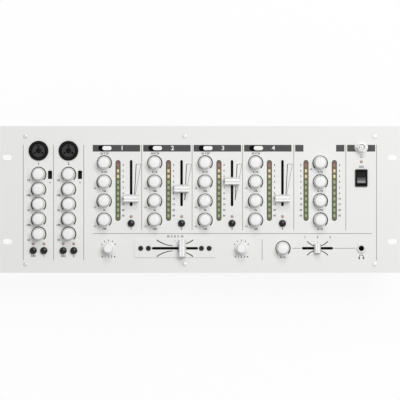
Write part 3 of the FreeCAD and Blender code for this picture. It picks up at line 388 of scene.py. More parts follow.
class MixerRegions(bpy.types.PropertyGroup):
    """Sizes that part one finish from another on a CAD node of several solids."""
    stem_depth: length_prop("Stem depth", "Depth below the panel's face where stems begin", 2.0)
    board_depth: length_prop("Board depth", "Depth of the circuit board below the panel's face", 21.0)
    board: length_prop("Board", "Thickness of the circuit board", 1.6)
    rocker_crest: length_prop("Rocker crest", "From the rocker's middle to the crest of its halves", 1.0)
    rocker_wide: length_prop("Rocker frame half width", "Half the width that holds the frame", 9.0)
    rocker_tall: length_prop("Rocker frame half height", "Half the height that holds the frame", 12.0)
    mic_ring: length_prop("Microphone ring", "Radius that holds a microphone socket", 9.6)
    phono_depth: length_prop("Phono depth", "How far in a phono socket reaches from the rear", 12.0)
    phono_collar: length_prop("Phono collar", "Radius that holds a phono socket's collar", 6.2)
    phono_barrel: length_prop("Phono barrel", "Radius that holds a phono socket's barrel", 4.4)
    phono_row: length_prop("Phono row", "Height that parts the two rows of phono sockets", 1.0)
    lamp_nut: length_prop("Lamp nut", "Radius that holds the lamp socket", 9.0)
    phones_nut: length_prop("Phones nut", "Radius of the headphone socket's nut", 6.0)


class MixerStage(bpy.types.PropertyGroup):
    """Settings of the camera, the lamps and the floor."""
    lens: plain_prop("Lens", "Focal length in mm", 300.0)
    sensor: plain_prop("Sensor", "Sensor width in mm", 36.0)
    camera_drop: length_prop("Camera drop", "How far the camera sits towards the front", 0.66)
    camera_far: plain_prop("Camera range", "Farthest distance that the camera sees, in m", 100.0)
    main_place: place_prop("Main lamp place", "Place of the main lamp", (0.77, 0.74, 2.34))
    main_power: power_prop("Main lamp", "Power of the main lamp", 30.0)
    main_size: plain_prop("Main lamp size", "Side of the main lamp in m", 0.9)
    rear_place: place_prop("Rear lamp place", "Place of the lamp behind", (0.15, 1.5, 1.8))
    rear_power: power_prop("Rear lamp", "Power of the lamp behind", 10.0)
    rear_size: plain_prop("Rear lamp size", "Side of the lamp behind in m", 0.6)
    sky: plain_prop("Sky", "Strength of the even light", 0.48)
    floor_size: plain_prop("Floor", "Side of the floor in m", 12.0)
    floor_drop: length_prop("Floor drop", "Gap between the case and the floor", 0.1)
    paper: colour_prop("Paper", "Colour of the floor", "F0F0F0")
    floor_white: plain_prop("Floor white", "Share of plain white in the floor that is seen", 0.92)


GROUPS = {
    "mixer_colours": MixerColours,
    "mixer_lines": MixerLines,
    "mixer_dials": MixerDials,
    "mixer_figures": MixerFigures,
    "mixer_signs": MixerSigns,
    "mixer_meter": MixerMeter,
    "mixer_screws": MixerScrews,
    "mixer_regions": MixerRegions,
    "mixer_stage": MixerStage,
}


# Materials

def add_node(tree, kind, inputs=None, links=None, **settings):
    """Adds a shader node with its settings, its constant inputs and the outputs linked to it."""
    node = tree.nodes.new(kind)
    for key, value in settings.items():
        setattr(node, key, value)
    for key, value in (inputs or {}).items():
        node.inputs[key].default_value = value
    for key, output in (links or {}).items():
        tree.links.new(output, node.inputs[key])
    return node


def shaded(colour, share):
    """A colour made lighter or darker by a share, as RGBA."""
    return (*[min(c * share, 1.0) for c in colour], 1.0)


def fill_ramp(ramp, stops):
    """Gives a ramp its colours, at positions in rising order."""
    elements = ramp.color_ramp.elements
    for i, (position, colour) in enumerate(stops.items()):
        stop = elements[i] if i < len(elements) else elements.new(position)
        stop.position = position
        stop.color = colour


def finish(name, colour, grain, relief, rough, spread=0.04, metallic=0.0, specular=0.5):
    """A solid finish whose colour, roughness and relief follow one noise; grain and relief are in mm."""
    mat = bpy.data.materials.new(name)
    mat.use_nodes = True
    MATERIALS[name] = mat
    tree = mat.node_tree
    shader = tree.nodes["Principled BSDF"]
    shader.inputs["Metallic"].default_value = metallic
    shader.inputs["Specular IOR Level"].default_value = specular
    place = add_node(tree, "ShaderNodeTexCoord").outputs["Object"]
    # A grain that is too fine to show in the render is drawn as coarse as it needs to show.
    grains = {"Scale": 1 / (grain * MM), "Detail": NOISE_DETAIL}
    height = add_node(tree, "ShaderNodeTexNoise", grains, {"Vector": place}).outputs["Fac"]
    ramp = add_node(tree, "ShaderNodeValToRGB", links={"Fac": height})
    low, high = NOISE_SPAN
    fill_ramp(ramp, {low: shaded(colour, 1 - spread), high: shaded(colour, 1 + spread)})
    tree.links.new(ramp.outputs["Color"], shader.inputs["Base Color"])
    limits = {"To Min": rough[0], "To Max": rough[1]}
    gloss = add_node(tree, "ShaderNodeMapRange", limits, {"Value": height})
    tree.links.new(gloss.outputs["Result"], shader.inputs["Roughness"])
    depth = {"Distance": relief * MM, "Strength": BUMP_STRENGTH}
    bump = add_node(tree, "ShaderNodeBump", depth, {"Height": height})
    tree.links.new(bump.outputs["Normal"], shader.inputs["Normal"])
    return tree


def along_y(tree, low, high):
    """A value that runs from 0 to 1 between two places along Y."""
    place = tree.nodes["Texture Coordinate"].outputs["Object"]
    split = add_node(tree, "ShaderNodeSeparateXYZ", links={"Vector": place})
    ends = {"From Min": low, "From Max": high}
    return add_node(tree, "ShaderNodeMapRange", ends, {"Value": split.outputs["Y"]}).outputs["Result"]


def make_plastics(colours):
    """The moulded plastics."""
    # Knob plastic: a little lighter and cooler than the panel, with a faint sheen.
    finish("silver_white_abs", colours.knob, grain=0.8, relief=0.004, rough=(0.4, 0.48), specular=0.2)
    # Frames and slide switches: near black with hardly any sheen.
    finish(
        "black_abs", colours.black, grain=0.5, relief=0.004, rough=(0.25, 0.36), spread=0.25, specular=0.12)
    # Satin sockets: the same plastic with a fuller sheen, dark grey where it faces the light.
    finish(
        "satin_black_abs", colours.satin, grain=0.6, relief=0.004, rough=(0.28, 0.38),
        spread=0.2, specular=0.38)
    # Polished buttons: deep black with one bright spot on the crown.
    finish(
        "polished_black_abs", colours.button, grain=0.6, relief=0.001, rough=(0.06, 0.1),
        spread=0.2, specular=0.3)
    # Rocker's lower half, painted sheen: lighter in colour than the black above its crest, with a roughness that
    # runs from matt under the crest to polished lower down, so that it shows a grey sheen there that stands for
    # light falling on it.
    tree = finish("rubbed_black_abs", colours.satin, grain=0.6, relief=0.002, rough=(0.16, 0.7), spread=0.2)
    lower_half = along_y(tree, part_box("power_rocker")[0].y, rocker_crest())
    sheen_ramp = add_node(tree, "ShaderNodeValToRGB", links={"Fac": lower_half})
    matt = {0.0: 0.5, 0.35: 0.0, 1.0: 1.0}
    fill_ramp(sheen_ramp, {at: (level, level, level, 1.0) for at, level in matt.items()})
    tree.links.new(sheen_ramp.outputs["Color"], tree.nodes["Map Range"].inputs["Value"])
    # Phono collars: coloured moulded rings for the two sides.
    finish("red_moulded_abs", colours.red_collar, grain=0.6, relief=0.004, rough=(0.3, 0.4))
    finish("white_moulded_abs", colours.white_collar, grain=0.6, relief=0.004, rough=(0.3, 0.4))
    # Diffusing lamp epoxy, unlit: pinkish where light comes back out of it.
    tree = finish("red_diffusing_epoxy", colours.lamp, grain=0.7, relief=0.002, rough=(0.2, 0.3))
    shader = tree.nodes["Principled BSDF"]
    shader.inputs["Subsurface Weight"].default_value = 0.2
    shader.inputs["Subsurface Radius"].default_value = (1.0 * MM, 0.4 * MM, 0.4 * MM)


def make_metals(colours):
    """The paints, plates and coats on metal, and the mask on the board."""
    # Pale satin paint on aluminium: an even light grey with a soft sheen.
    finish(
        "silver_grey_satin_paint", colours.panel, grain=0.5, relief=0.006, rough=(0.42, 0.5), spread=0.03)
    # Powder coat on the steel case: dull black with a fine orange-peel grain.
    finish("black_powder_coat", colours.case, grain=0.9, relief=0.03, rough=(0.5, 0.62), spread=0.2)
    # Nickel plate: bright, slightly warm reflections broken by faint wear.
    finish(
        "nickel_plate", colours.nickel, grain=1.5, relief=0.002, rough=(0.18, 0.3),
        spread=0.1, metallic=1.0)
    # Zinc screws: greyer and duller than the nickel.
    finish("zinc_plate", colours.zinc, grain=1.0, relief=0.004, rough=(0.3, 0.42), spread=0.1, metallic=1.0)
    # Black oxide on steel screws: dark with a dim metallic edge.
    finish(
        "black_oxide_steel", colours.oxide, grain=0.8, relief=0.004, rough=(0.35, 0.45),
        spread=0.25, metallic=0.6)
    # Solder mask on the circuit board: deep glossy green.
    finish("green_solder_mask", colours.mask, grain=2.0, relief=0.01, rough=(0.25, 0.35), spread=0.15)


def make_inks(colours):
    """The screen-printed inks: flat, with slightly uneven cover."""
    finish("black_ink", colours.black_ink, grain=0.4, relief=0.002, rough=(0.55, 0.65), spread=0.15)
    finish("dark_grey_ink", colours.bar_ink, grain=0.4, relief=0.002, rough=(0.55, 0.65), spread=0.1)
    finish("mid_grey_ink", colours.line_ink, grain=0.4, relief=0.002, rough=(0.55, 0.65), spread=0.1)
    finish("white_ink", colours.white_ink, grain=0.4, relief=0.002, rough=(0.5, 0.6))


def make_meter_plastics(colours):
    """The smoked lens of a meter, its rim and the diffusing segments that show through."""
    finish("dark_olive_acrylic", colours.edge, grain=0.6, relief=0.001, rough=(0.2, 0.3), spread=0.15)
    for name in METER_ZONES:
        finish(
            f"{name}_diffusing_acrylic", getattr(colours, name), grain=0.6, relief=0.001, rough=(0.2, 0.3),
            spread=0.08)
    # The lens: its tint runs from green through olive to brown along the meter.
    tree = finish("smoked_acrylic", colours.lens_low, grain=0.8, relief=0.001, rough=(0.12, 0.2))
    meter = bpy.context.scene.mixer_meter
    span = along_y(tree, meter.middle - meter.length / 2, meter.middle + meter.length / 2)
    ramp = tree.nodes["Color Ramp"]
    tree.links.new(span, ramp.inputs["Fac"])
    tints = {0.62: colours.lens_low, 0.75: colours.lens_middle, 0.92: colours.lens_high}
    fill_ramp(ramp, {at: (*tint, 1.0) for at, tint in tints.items()})


def finish_node(node, *rules):
    """Gives a CAD node its materials: the last rule whose test holds for a face's middle wins."""
    ob = frame["nodes"][node]
    mesh = ob.data
    mesh.materials.clear()
    for name, _ in rules:
        mesh.materials.append(MATERIALS[name])
    for poly in mesh.polygons:
        point = ob.matrix_world @ poly.center
        for i, (_, test) in enumerate(rules):
            if test is None or test(point):
                poly.material_index = i


# Modelling helpers

def fresh():
    """Leaves nothing selected."""
    bpy.ops.object.select_all(action="DESELECT")


def named(name):
    """Names the active object and returns it."""
    ob = bpy.context.active_object
    ob.name = name
    ob.data.name = name
    return ob


def pick(ob):
    """Makes an object the only one selected, and the active one."""
    fresh()
    ob.select_set(True)
    bpy.context.view_layer.objects.active = ob


def apply_place(ob):
    """Puts the place, turn and scale of an object into its mesh."""
    pick(ob)
    bpy.ops.object.transform_apply(location=True, rotation=True, scale=True)
    return ob


def strip(shape, steps):
    """A flat strip: a grid whose points are moved to shape(along, across), both 0 to 1."""
    fresh()
    bpy.ops.mesh.primitive_grid_add(x_subdivisions=steps, y_subdivisions=1, size=1)
    ob = named("strip")
    for v in ob.data.vertices:
        v.co = (*shape(v.co.x + 0.5, v.co.y + 0.5), 0)
    return ob


def line(start, end, width):
    """A straight line between two points."""
    x, y = start[0], start[1]
    dx, dy = end[0] - x, end[1] - y
    share = width / math.hypot(dx, dy)

    def shape(u, v):
        return x + dx * u - dy * share * (v - 0.5), y + dy * u + dx * share * (v - 0.5)
    return strip(shape, 1)


def bar(width, height):
    """A flat bar about the origin."""
    return line((-width / 2, 0), (width / 2, 0), height)


def arc(radius, start, end, widths, steps=ARC_STEPS, middle=(0, 0)):
    """An arc about a point, clockwise from straight up; widths(along) is its width."""
    def shape(u, v):
        angle = start + (end - start) * u
        r = radius + widths(u) * v
        return middle[0] + r * math.sin(angle), middle[1] + r * math.cos(angle)
    return strip(shape, steps)


def oval_band(along, length, width, band):
    """A band round an oval opening about the origin: two straight sides and two half-round ends."""
    out = []
    run = along * (length - width) / 2
    across = Vector((along.y, -along.x, 0)) * (width + band) / 2
    heading = math.atan2(along.x, along.y)
    for side in (-1, 1):
        out.append(line(side * across - run, side * across + run, band))
        start = heading - side * math.pi / 2
        out.append(arc(width / 2, start, start + math.pi, lambda u: band, END_STEPS, side * run))
    return join("band", out)


def number(text, size):
    """A number about the origin, a little bolder than the font."""
    fresh()
    bpy.ops.object.text_add()
    ob = bpy.context.active_object
    ob.data.body = text
    ob.data.size = size
    ob.data.offset = size * bpy.context.scene.mixer_figures.bold
    ob.data.align_x = "CENTER"
    ob.data.align_y = "CENTER"
    ob.data.resolution_u = 2
    bpy.ops.object.convert(target="MESH")
    return named("number")


def copies(ob, places):
    """Puts a copy of a shape, with its own mesh, at each place; the shape itself is used up."""
    out = []
    for place in places:
        pick(ob)
        bpy.ops.object.duplicate()
        copy = bpy.context.active_object
        copy.location = place
        out.append(apply_place(copy))
    bpy.data.objects.remove(ob)
    return out


def numbers(labels):
    """Models each text of a size once and copies it: a label is its text, its size and its place."""
    places = {}
    for text, size, place in labels:
        places.setdefault((text, size), []).append(place)
    out = []
    for (text, size), spots in places.items():
        out += copies(number(text, size), spots)
    return out


def join(name, obs):
    """Joins objects into one named piece."""
    pick(obs[0])
    for ob in obs:
        ob.select_set(True)
    if len(obs) > 1:
        bpy.ops.object.join()
    return named(name)


def print_piece(name, obs, material, level=0.0):
    """Joins flat shapes, lifts them to the panel's face and makes them as thick as the ink."""
    ink = bpy.context.scene.mixer_lines.ink
    ob = join(name, obs)
    bpy.ops.object.mode_set(mode="EDIT")
    bpy.ops.mesh.select_all(action="SELECT")
    bpy.ops.mesh.remove_doubles(threshold=MERGE)
    bpy.ops.transform.translate(value=(0, 0, PANEL_TOP + level))
    bpy.ops.mesh.extrude_region_move(TRANSFORM_OT_translate={"value": (0, 0, ink)})
    bpy.ops.mesh.select_all(action="SELECT")
    bpy.ops.mesh.normals_make_consistent(inside=False)
    bpy.ops.object.mode_set(mode="OBJECT")
    return hold(ob, material)


def hold(ob, material):
    """Gives a finished piece its material and the body that it rides on."""
    ob.data.materials.clear()
    ob.data.materials.append(MATERIALS[material])
    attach(ob, ROOT_BODY)
    return ob


def screw(radius, height, recess):
    """A pan-head screw with a cross recess, standing on the origin."""
    props = bpy.context.scene.mixer_screws
    fresh()
    bpy.ops.mesh.primitive_cylinder_add(
        vertices=SCREW_SIDES, radius=radius, depth=height, location=(0, 0, height / 2))
    head = apply_place(named("screw"))
    bpy.ops.object.modifier_add(type="BEVEL")
    bevel = head.modifiers[-1]
    bevel.width = height * props.bevel
    bevel.segments = 3
    bevel.limit_method = "ANGLE"
    bpy.ops.object.modifier_apply(modifier=bevel.name)
    for turn in (props.cross_turn, props.cross_turn + math.pi / 2):
        fresh()
        bpy.ops.mesh.primitive_cube_add(size=1, location=(0, 0, height))
        cutter = named("cross")
        cutter.scale = (radius * props.cross_length, radius * props.cross_width, recess * 2)
        cutter.rotation_euler.z = turn
        apply_place(cutter)
        pick(head)
        bpy.ops.object.modifier_add(type="BOOLEAN")
        cut = head.modifiers[-1]
        cut.operation = "DIFFERENCE"
        cut.object = cutter
        bpy.ops.object.modifier_apply(modifier=cut.name)
        bpy.data.objects.remove(cutter)
    bpy.ops.object.shade_smooth_by_angle(angle=SMOOTH_ANGLE)
    return head


# Steps

class MIXER_OT_materials(bpy.types.Operator):
    """Makes every finish once, named for the real material"""
    bl_idname = "mixer.materials"
    bl_label = "Materials"

    def execute(self, context):
        colours = context.scene.mixer_colours
        make_plastics(colours)
        make_metals(colours)
        make_inks(colours)
        make_meter_plastics(colours)
        return {"FINISHED"}


class MIXER_OT_finish_case(bpy.types.Operator):
    """Finishes the panel, the case, the plate and the board"""
    bl_idname = "mixer.finish_case"
    bl_label = "Finish case"

    def execute(self, context):
        props = context.scene.mixer_regions
        finish_node("front_panel", ("silver_grey_satin_paint", None))
        finish_node("chassis", ("black_powder_coat", None))
        finish_node("crossfader_plate", ("silver_grey_satin_paint", None))
        top = PANEL_TOP - props.board_depth + SKIN
        foot = top - props.board - 2 * SKIN
        finish_node(
            "control_board", ("black_abs", None), ("green_solder_mask", lambda p: foot < p.z < top))
        return {"FINISHED"}


class MIXER_OT_finish_controls(bpy.types.Operator):
    """Finishes the knobs, faders, switches, buttons and rocker"""
    bl_idname = "mixer.finish_controls"
    bl_label = "Finish controls"

    def execute(self, context):
        props = context.scene.mixer_regions
        stems = PANEL_TOP - props.stem_depth
        knobs = list(dial_nodes()) + list(ASSIGN_KNOBS)
        switches = [f"ch{c}_source_switch" for c in CHANNELS]
        for node in knobs + list(FADERS) + switches:
            finish_node(node, ("silver_white_abs", None), ("zinc_plate", lambda p: p.z < stems))
        for node in frame["nodes"]:
            if node.endswith("_mode_switch"):
                finish_node(node, ("black_abs", None))
            if node.endswith("_button"):
                finish_node(node, ("polished_black_abs", None))
        crest = rocker_crest()
        # The rocker's halves get lit and shaded copies of one plastic: painted sheen below the crest, plain black
        # above it.
        finish_node("power_rocker", ("rubbed_black_abs", None), ("black_abs", lambda p: p.y > crest))
        return {"FINISHED"}


class MIXER_OT_finish_sockets(bpy.types.Operator):
    """Finishes the sockets, the lamps and the meter lenses"""
    bl_idname = "mixer.finish_sockets"
    bl_label = "Finish sockets"

    def execute(self, context):
        props = context.scene.mixer_regions
        phono = phono_points()
        upper = max(q.z for q in phono) - props.phono_row
        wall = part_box("chassis")[1].y - props.phono_depth
        rocker = centre("power_rocker")
        phones = Vector((rocker.x, centre("phones_level_knob").y, 0))
        lamp = mount_point("lamp_socket")
        mics = [mount_point(f"mic{n}_jack") for n in MIC_COLUMNS]

        def flat(p, q):
            return math.hypot(p.x - q.x, p.y - q.y)

        def in_phono(p, radius):
            return p.y > wall and any(math.hypot(p.x - q.x, p.z - q.z) < radius for q in phono)

        def in_frame(p):
            return abs(p.x - rocker.x) < props.rocker_wide and abs(p.y - rocker.y) < props.rocker_tall

        def in_upper(p):
            return p.z > upper - props.phono_collar and in_phono(p, props.phono_collar)
        finish_node(
            "sockets", ("satin_black_abs", None), ("black_abs", in_frame),
            ("black_abs", lambda p: min(flat(p, q) for q in mics) > props.mic_ring),
            ("red_moulded_abs", lambda p: in_phono(p, props.phono_collar)),
            ("white_moulded_abs", in_upper),
            ("nickel_plate", lambda p: in_phono(p, props.phono_barrel)),
            ("nickel_plate", lambda p: flat(p, lamp) < props.lamp_nut),
            ("nickel_plate", lambda p: p.z > PANEL_TOP and flat(p, phones) < props.phones_nut + SKIN))
        finish_node(
            "indicator_lights", ("smoked_acrylic", None),
            ("red_diffusing_epoxy", lambda p: p.z > PANEL_TOP + SKIN))
        return {"FINISHED"}


class MIXER_OT_print_lines(bpy.types.Operator):
    """Prints the dividing lines, the header bars and painted shade round the fader slots"""
    bl_idname = "mixer.print_lines"
    bl_label = "Print lines and headers"

    def execute(self, context):
        props = context.scene.mixer_lines
        master = centre("master_level_knob").x
        self.top = centre("ch1_source_switch").y
        self.master_lines = (master - props.master_left, master + props.master_right)
        self.right_line = centre("power_rocker").x + props.strip_half
        print_piece("dividing_lines", self.strip_lines(props) + self.lower_lines(props), "mid_grey_ink")
        print_piece("header_bars", self.channel_bars(props) + self.short_bars(props), "dark_grey_ink")
        # Painted shade: a band of black ink round every fader slot, so that the slot's shaded opening looks wider.
        print_piece("slot_borders", self.slot_borders(props), "black_ink")
        return {"FINISHED"}

    def strip_lines(self, props):
        """The upright lines between the strips."""
        head = self.top + props.header / 2
        lower = centre("crossfader_plate").y
        long_foot = lower - props.lower_drop
        short_foot = lower + props.long_rise + props.foot_gap
        left, right = [centre(f"mic{n}_gain_knob").x for n in MIC_COLUMNS]
        tall = (left - props.strip_half, (left + right) / 2, right + props.strip_half, self.right_line)
        short = [centre(f"ch{c}_gain_knob").x + props.channel_edge for c in CHANNELS[:-1]]
        short += self.master_lines
        out = copies(line((0, head), (0, long_foot), props.rule), [(x, 0, 0) for x in tall])
        return out + copies(line((0, head), (0, short_foot), props.rule), [(x, 0, 0) for x in short])

    def lower_lines(self, props):
        """The long line, the line beside the phones strip and the lead lines of its fader."""
        lower = centre("crossfader_plate").y
        first = centre("ch1_gain_knob").x - props.long_reach
        last = centre("power_rocker").x + props.long_reach
        long_y = lower + props.long_rise
        knob = centre("phones_level_knob")
        between = (centre(ASSIGN_KNOBS[1]).x + knob.x) / 2
        dials = bpy.context.scene.mixer_dials
        slot, _, travel = slot_of("phones_mix_fader")
        half = (travel + props.fader_spare) / 2
        nut = centre("power_rocker").x - bpy.context.scene.mixer_regions.phones_nut
        knob_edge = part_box("phones_level_knob")[1].x + dials.arc_gap + dials.arc_thick
        leads = ((knob_edge, slot.x - half), (slot.x + half, nut))
        out = [
            line((first, long_y), (last, long_y), props.rule),
            line((between, lower + props.lower_rise), (between, lower - props.lower_drop), props.rule),
        ]
        for start, end in leads:
            out.append(line((start + props.lead_gap, knob.y), (end - props.lead_gap, knob.y), props.rule))
        return out

    def channel_bars(self, props):
        """A bar over every channel with a round-ended opening for its source switch."""
        radius = props.switch_width / 2
        reach = props.switch_length / 2 - radius
        spare = props.header / 2 - radius
        knobs = [centre(f"ch{c}_gain_knob").x for c in CHANNELS]
        slot = slot_of("ch1_source_switch")[0].x - knobs[0]
        left = -props.header_left
        parts = []
        for side, outer in ((-1, left), (1, left + props.header_length)):
            def end(u, v, side=side, outer=outer):
                angle = math.pi * (u - 0.5)
                inner = slot + side * (reach + radius * math.cos(angle))
                return inner + (outer - inner) * v, (radius + spare * v) * math.sin(angle)

            def edge(u, v, side=side):
                inner = slot + reach * (2 * u - 1)
                outer = left + props.header_length * u
                return inner + (outer - inner) * v, side * (radius + spare * v)
            parts += [strip(end, CURVE_STEPS), strip(edge, 1)]
        return copies(join("bar", parts), [(x, self.top, 0) for x in knobs])

    def short_bars(self, props):
        """Two bars over the master strip, and two that end round the lamp socket."""
        left, right = self.master_lines
        half = props.short_bar / 2
        gap = props.header_gap
        middles = (left + gap + half, right - gap - half)
        out = copies(bar(props.short_bar, props.header), [(x, self.top, 0) for x in middles])
        lamp = mount_point("lamp_socket")
        for side, outer in ((-1, right + gap), (1, self.right_line - gap)):
            def shape(u, v, side=side, outer=outer):
                y = self.top + (u - 0.5) * props.header
                inner = lamp.x + side * math.sqrt(props.lamp_clear ** 2 - (y - lamp.y) ** 2)
                return outer + (inner - outer) * v, y
            out.append(strip(shape, CURVE_STEPS))
        return out

    def slot_borders(self, props):
        """Painted shade round the slot of every fader, on the panel or on the crossfader's plate: a band of black
        ink that widens the dark of the slot's opening.
        """
        out = []
        for faders in (CHANNEL_FADERS, ("crossfader",), ("phones_mix_fader",)):
            _, along, travel = slot_of(faders[0])
            band = oval_band(along, travel + props.fader_spare, props.fader_width, props.fader_border)
            out += copies(band, [slot_of(fader)[0] for fader in faders])
        return out


class MIXER_OT_print_dials(bpy.types.Operator):
    """Prints the arcs round the knobs and the ticks of the two rotary switches"""
    bl_idname = "mixer.print_dials"
    bl_label = "Print dials"

    def execute(self, context):
        props = context.scene.mixer_dials
        thin = props.arc_thin
        grow = props.arc_thick - props.arc_thin
        widths = {
            "wedge": lambda u: thin + grow * u,
            "even": lambda u: thin + grow * abs(2 * u - 1),
        }
        dials = dial_nodes()
        knob = next(iter(dials))
        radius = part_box(knob)[1].x - centre(knob).x + props.arc_gap
        marks = []
        for kind, width in widths.items():
            places = [spot(node) for node in dials if dials[node] == kind]
            marks += copies(arc(radius, -props.arc_turn, props.arc_turn, width), places)
        ticks = []
        for step in SELECTOR_STEPS:
            turn = step * props.tick_turn
            out = Vector((math.sin(turn), math.cos(turn), 0))
            ticks.append(line(out * props.tick_start, out * props.tick_end, props.tick_width))
        marks += copies(join("ticks", ticks), [spot(node) for node in ASSIGN_KNOBS])
        print_piece("dial_arcs", marks, "black_ink")
        return {"FINISHED"}


class MIXER_OT_print_figures(bpy.types.Operator):
    """Prints plain figures on the dials, meters, buttons and headers"""
    bl_idname = "mixer.print_figures"
    bl_label = "Print figures"

    BANDS = {"high": "10k", "mid": "1k", "low": "100"}

    def execute(self, context):
        props = context.scene.mixer_figures
        labels = self.knob_labels(props) + self.button_labels(props)
        labels += self.fader_labels(props) + self.meter_labels(props)
        print_piece("dial_figures", numbers(labels), "black_ink")
        heads = []
        for channel in CHANNELS:
            x = centre(f"ch{channel}_gain_knob").x + props.header_shift
            heads.append((str(channel), props.header, (x, centre(f"ch{channel}_source_switch").y, 0)))
        print_piece("channel_numbers", numbers(heads), "white_ink", level=context.scene.mixer_lines.ink)
        return {"FINISHED"}

    def knob_labels(self, props):
        """Figures beside the microphone knobs, and below and beside the others."""
        out = []
        for node, kind in dial_nodes().items():
            band = self.BANDS.get(node.split("_")[1], "0-10")
            if node.startswith("mic"):
                text = band if kind == "even" else "10"
                out.append((text, props.size, spot(node, -props.mic_side, -props.mic_drop)))
                continue
            out.append((band, props.size, spot(node, 0, -props.knob_drop)))
            if kind == "even":
                out.append(("-12", props.small, spot(node, -props.knob_side, -props.side_drop)))
        for channel in CHANNELS:
            out.append(("-20 0 20", props.scale, spot(f"ch{channel}_gain_knob", 0, props.knob_rise)))
        for node in ASSIGN_KNOBS:
            out.append(("0  1  2  3  4", props.size, spot(node, 0, -props.selector_drop)))
        return out

    def button_labels(self, props):
        """Figures at the buttons, the slide switches, the microphone sockets and the rocker."""
        out = [("ON", props.size, spot("power_rocker", 0, props.rocker_rise))]
        for channel in CHANNELS:
            out.append((str(channel), props.size, spot(f"ch{channel}_cue_button", 0, -props.button_drop)))
        for mic in MIC_COLUMNS:
            jack = mount_point(f"mic{mic}_jack")
            out += [
                ("ON", props.size, spot(f"mic{mic}_on_button", 0, -props.button_drop)),
                (str(mic), props.size, spot(f"mic{mic}_cue_button", 0, -props.button_drop)),
                ("0", props.small, spot(f"mic{mic}_mode_switch", 0, -props.switch_reach)),
                ("1", props.small, spot(f"mic{mic}_mode_switch", 0, props.switch_reach)),
                (str(mic), props.socket, (jack.x, jack.y - props.socket_drop, 0)),
            ]
        return out

    def fader_labels(self, props):
        """The scale over the crossfader and the figures over the phones fader."""
        out = [("10  5  0  5  10", props.size, spot("crossfader_plate", 0, props.cross_rise))]
        x, y, _ = slot_of("phones_mix_fader")[0]
        for side, text in ((-1, "1"), (0, "0"), (1, "2")):
            out.append((text, props.size, (x + side * props.phones_reach, y + props.phones_rise, 0)))
        return out

    def meter_labels(self, props):
        """The scale of every meter: right of the channels', outside the master's."""
        out = []
        columns = meter_columns()
        for x in columns:
            side = -1 if x == columns[-2] else 1
            for row, text in enumerate(METER_LEVELS):
                out.append((text, props.scale, (x + side * props.meter_gap, meter_row(row), 0)))
        return out


class MIXER_OT_print_signs(bpy.types.Operator):
    """Prints the fader wedges, the crossfader curves and the small signs"""
    bl_idname = "mixer.print_signs"
    bl_label = "Print signs"

    def execute(self, context):
        props = context.scene.mixer_signs
        cross = slot_of("crossfader")[0]
        phones = slot_of("phones_mix_fader")[0]
        lamp = mount_point("lamp_socket")
        bulb = (lamp.x, lamp.y - props.bulb_drop, 0)
        pads = (centre("power_rocker").x, phones.y - props.phones_drop, 0)
        signs = copies(self.wedge(props), [slot_of(fader)[0] for fader in CHANNEL_FADERS])
        signs += copies(self.fade_curves(props.cross_reach, props.cross_rise, props), [cross])
        signs += copies(self.fade_curves(props.phones_reach, props.phones_rise, props), [phones])
        signs += copies(self.lamp_sign(props), [bulb])
        signs += copies(self.phones_sign(props), [pads])
        print_piece("signs", signs, "black_ink")
        return {"FINISHED"}

    def wedge(self, props):
        """A narrow wedge beside a channel's slot: a bold side, a fine side and a fine head."""
        foot = (props.wedge_start, -props.wedge_low)
        left = (props.wedge_left, props.wedge_high)
        right = (props.wedge_right, props.wedge_high)
        sides = [line(foot, right, props.fine), line(left, right, props.fine), line(foot, left, props.bold)]
        return join("wedge", sides)

    def fade_curves(self, reach, rise, props):
        """Four curves that fall from both ends of a cross fader's slot towards its middle, and a tick."""
        out = [line((0, rise * props.tick_low), (0, rise * props.tick_high), props.fine)]
        for across in (-1, 1):
            for up in (-1, 1):
                def shape(u, v, across=across, up=up):
                    fall = props.curve_low + (1 - props.curve_low) * u ** 2
                    x = across * reach * (props.curve_start + (1 - props.curve_start) * u)
                    return x, up * (rise * fall + props.curve * (1 + u) * v)
                out.append(strip(shape, END_STEPS))
        return join("curves", out)

    def lamp_sign(self, props):
        """A bulb on its cap."""
        bulb = arc(props.bulb_radius, 0, 2 * math.pi, lambda u: props.fine)
        cap = copies(bar(props.cap_width, props.cap_height), [(0, -props.cap_drop, 0)])
        return join("bulb", [bulb] + cap)

    def phones_sign(self, props):
        """A pair of headphones: a band and two ear pads."""
        band = arc(props.band_radius, -math.pi / 2, math.pi / 2, lambda u: props.curve)
        places = [(side * props.pad_reach, -props.pad_height / 2, 0) for side in (-1, 1)]
        return join("phones", [band] + copies(bar(props.pad_width, props.pad_height), places))


class MIXER_OT_meter_segments(bpy.types.Operator):
    """Makes the segments and the dark rim that show on the face of every meter"""
    bl_idname = "mixer.meter_segments"
    bl_label = "Meter segments"

    def execute(self, context):
        props = context.scene.mixer_meter
        columns = meter_columns()
        for colour, rows in METER_ZONES.items():
            places = [(x, meter_row(row), 0) for x in columns for row in rows]
            segments = copies(bar(props.width, props.height), places)
            print_piece(f"meter_segments_{colour}", segments, f"{colour}_diffusing_acrylic")
        inner = props.lens - 2 * props.edge
        rim = oval_band(Vector((0, 1, 0)), props.length - 2 * props.edge, inner, props.edge)
        rims = copies(rim, [(x, props.middle, 0) for x in columns])
        print_piece("meter_edges", rims, "dark_olive_acrylic")
        return {"FINISHED"}


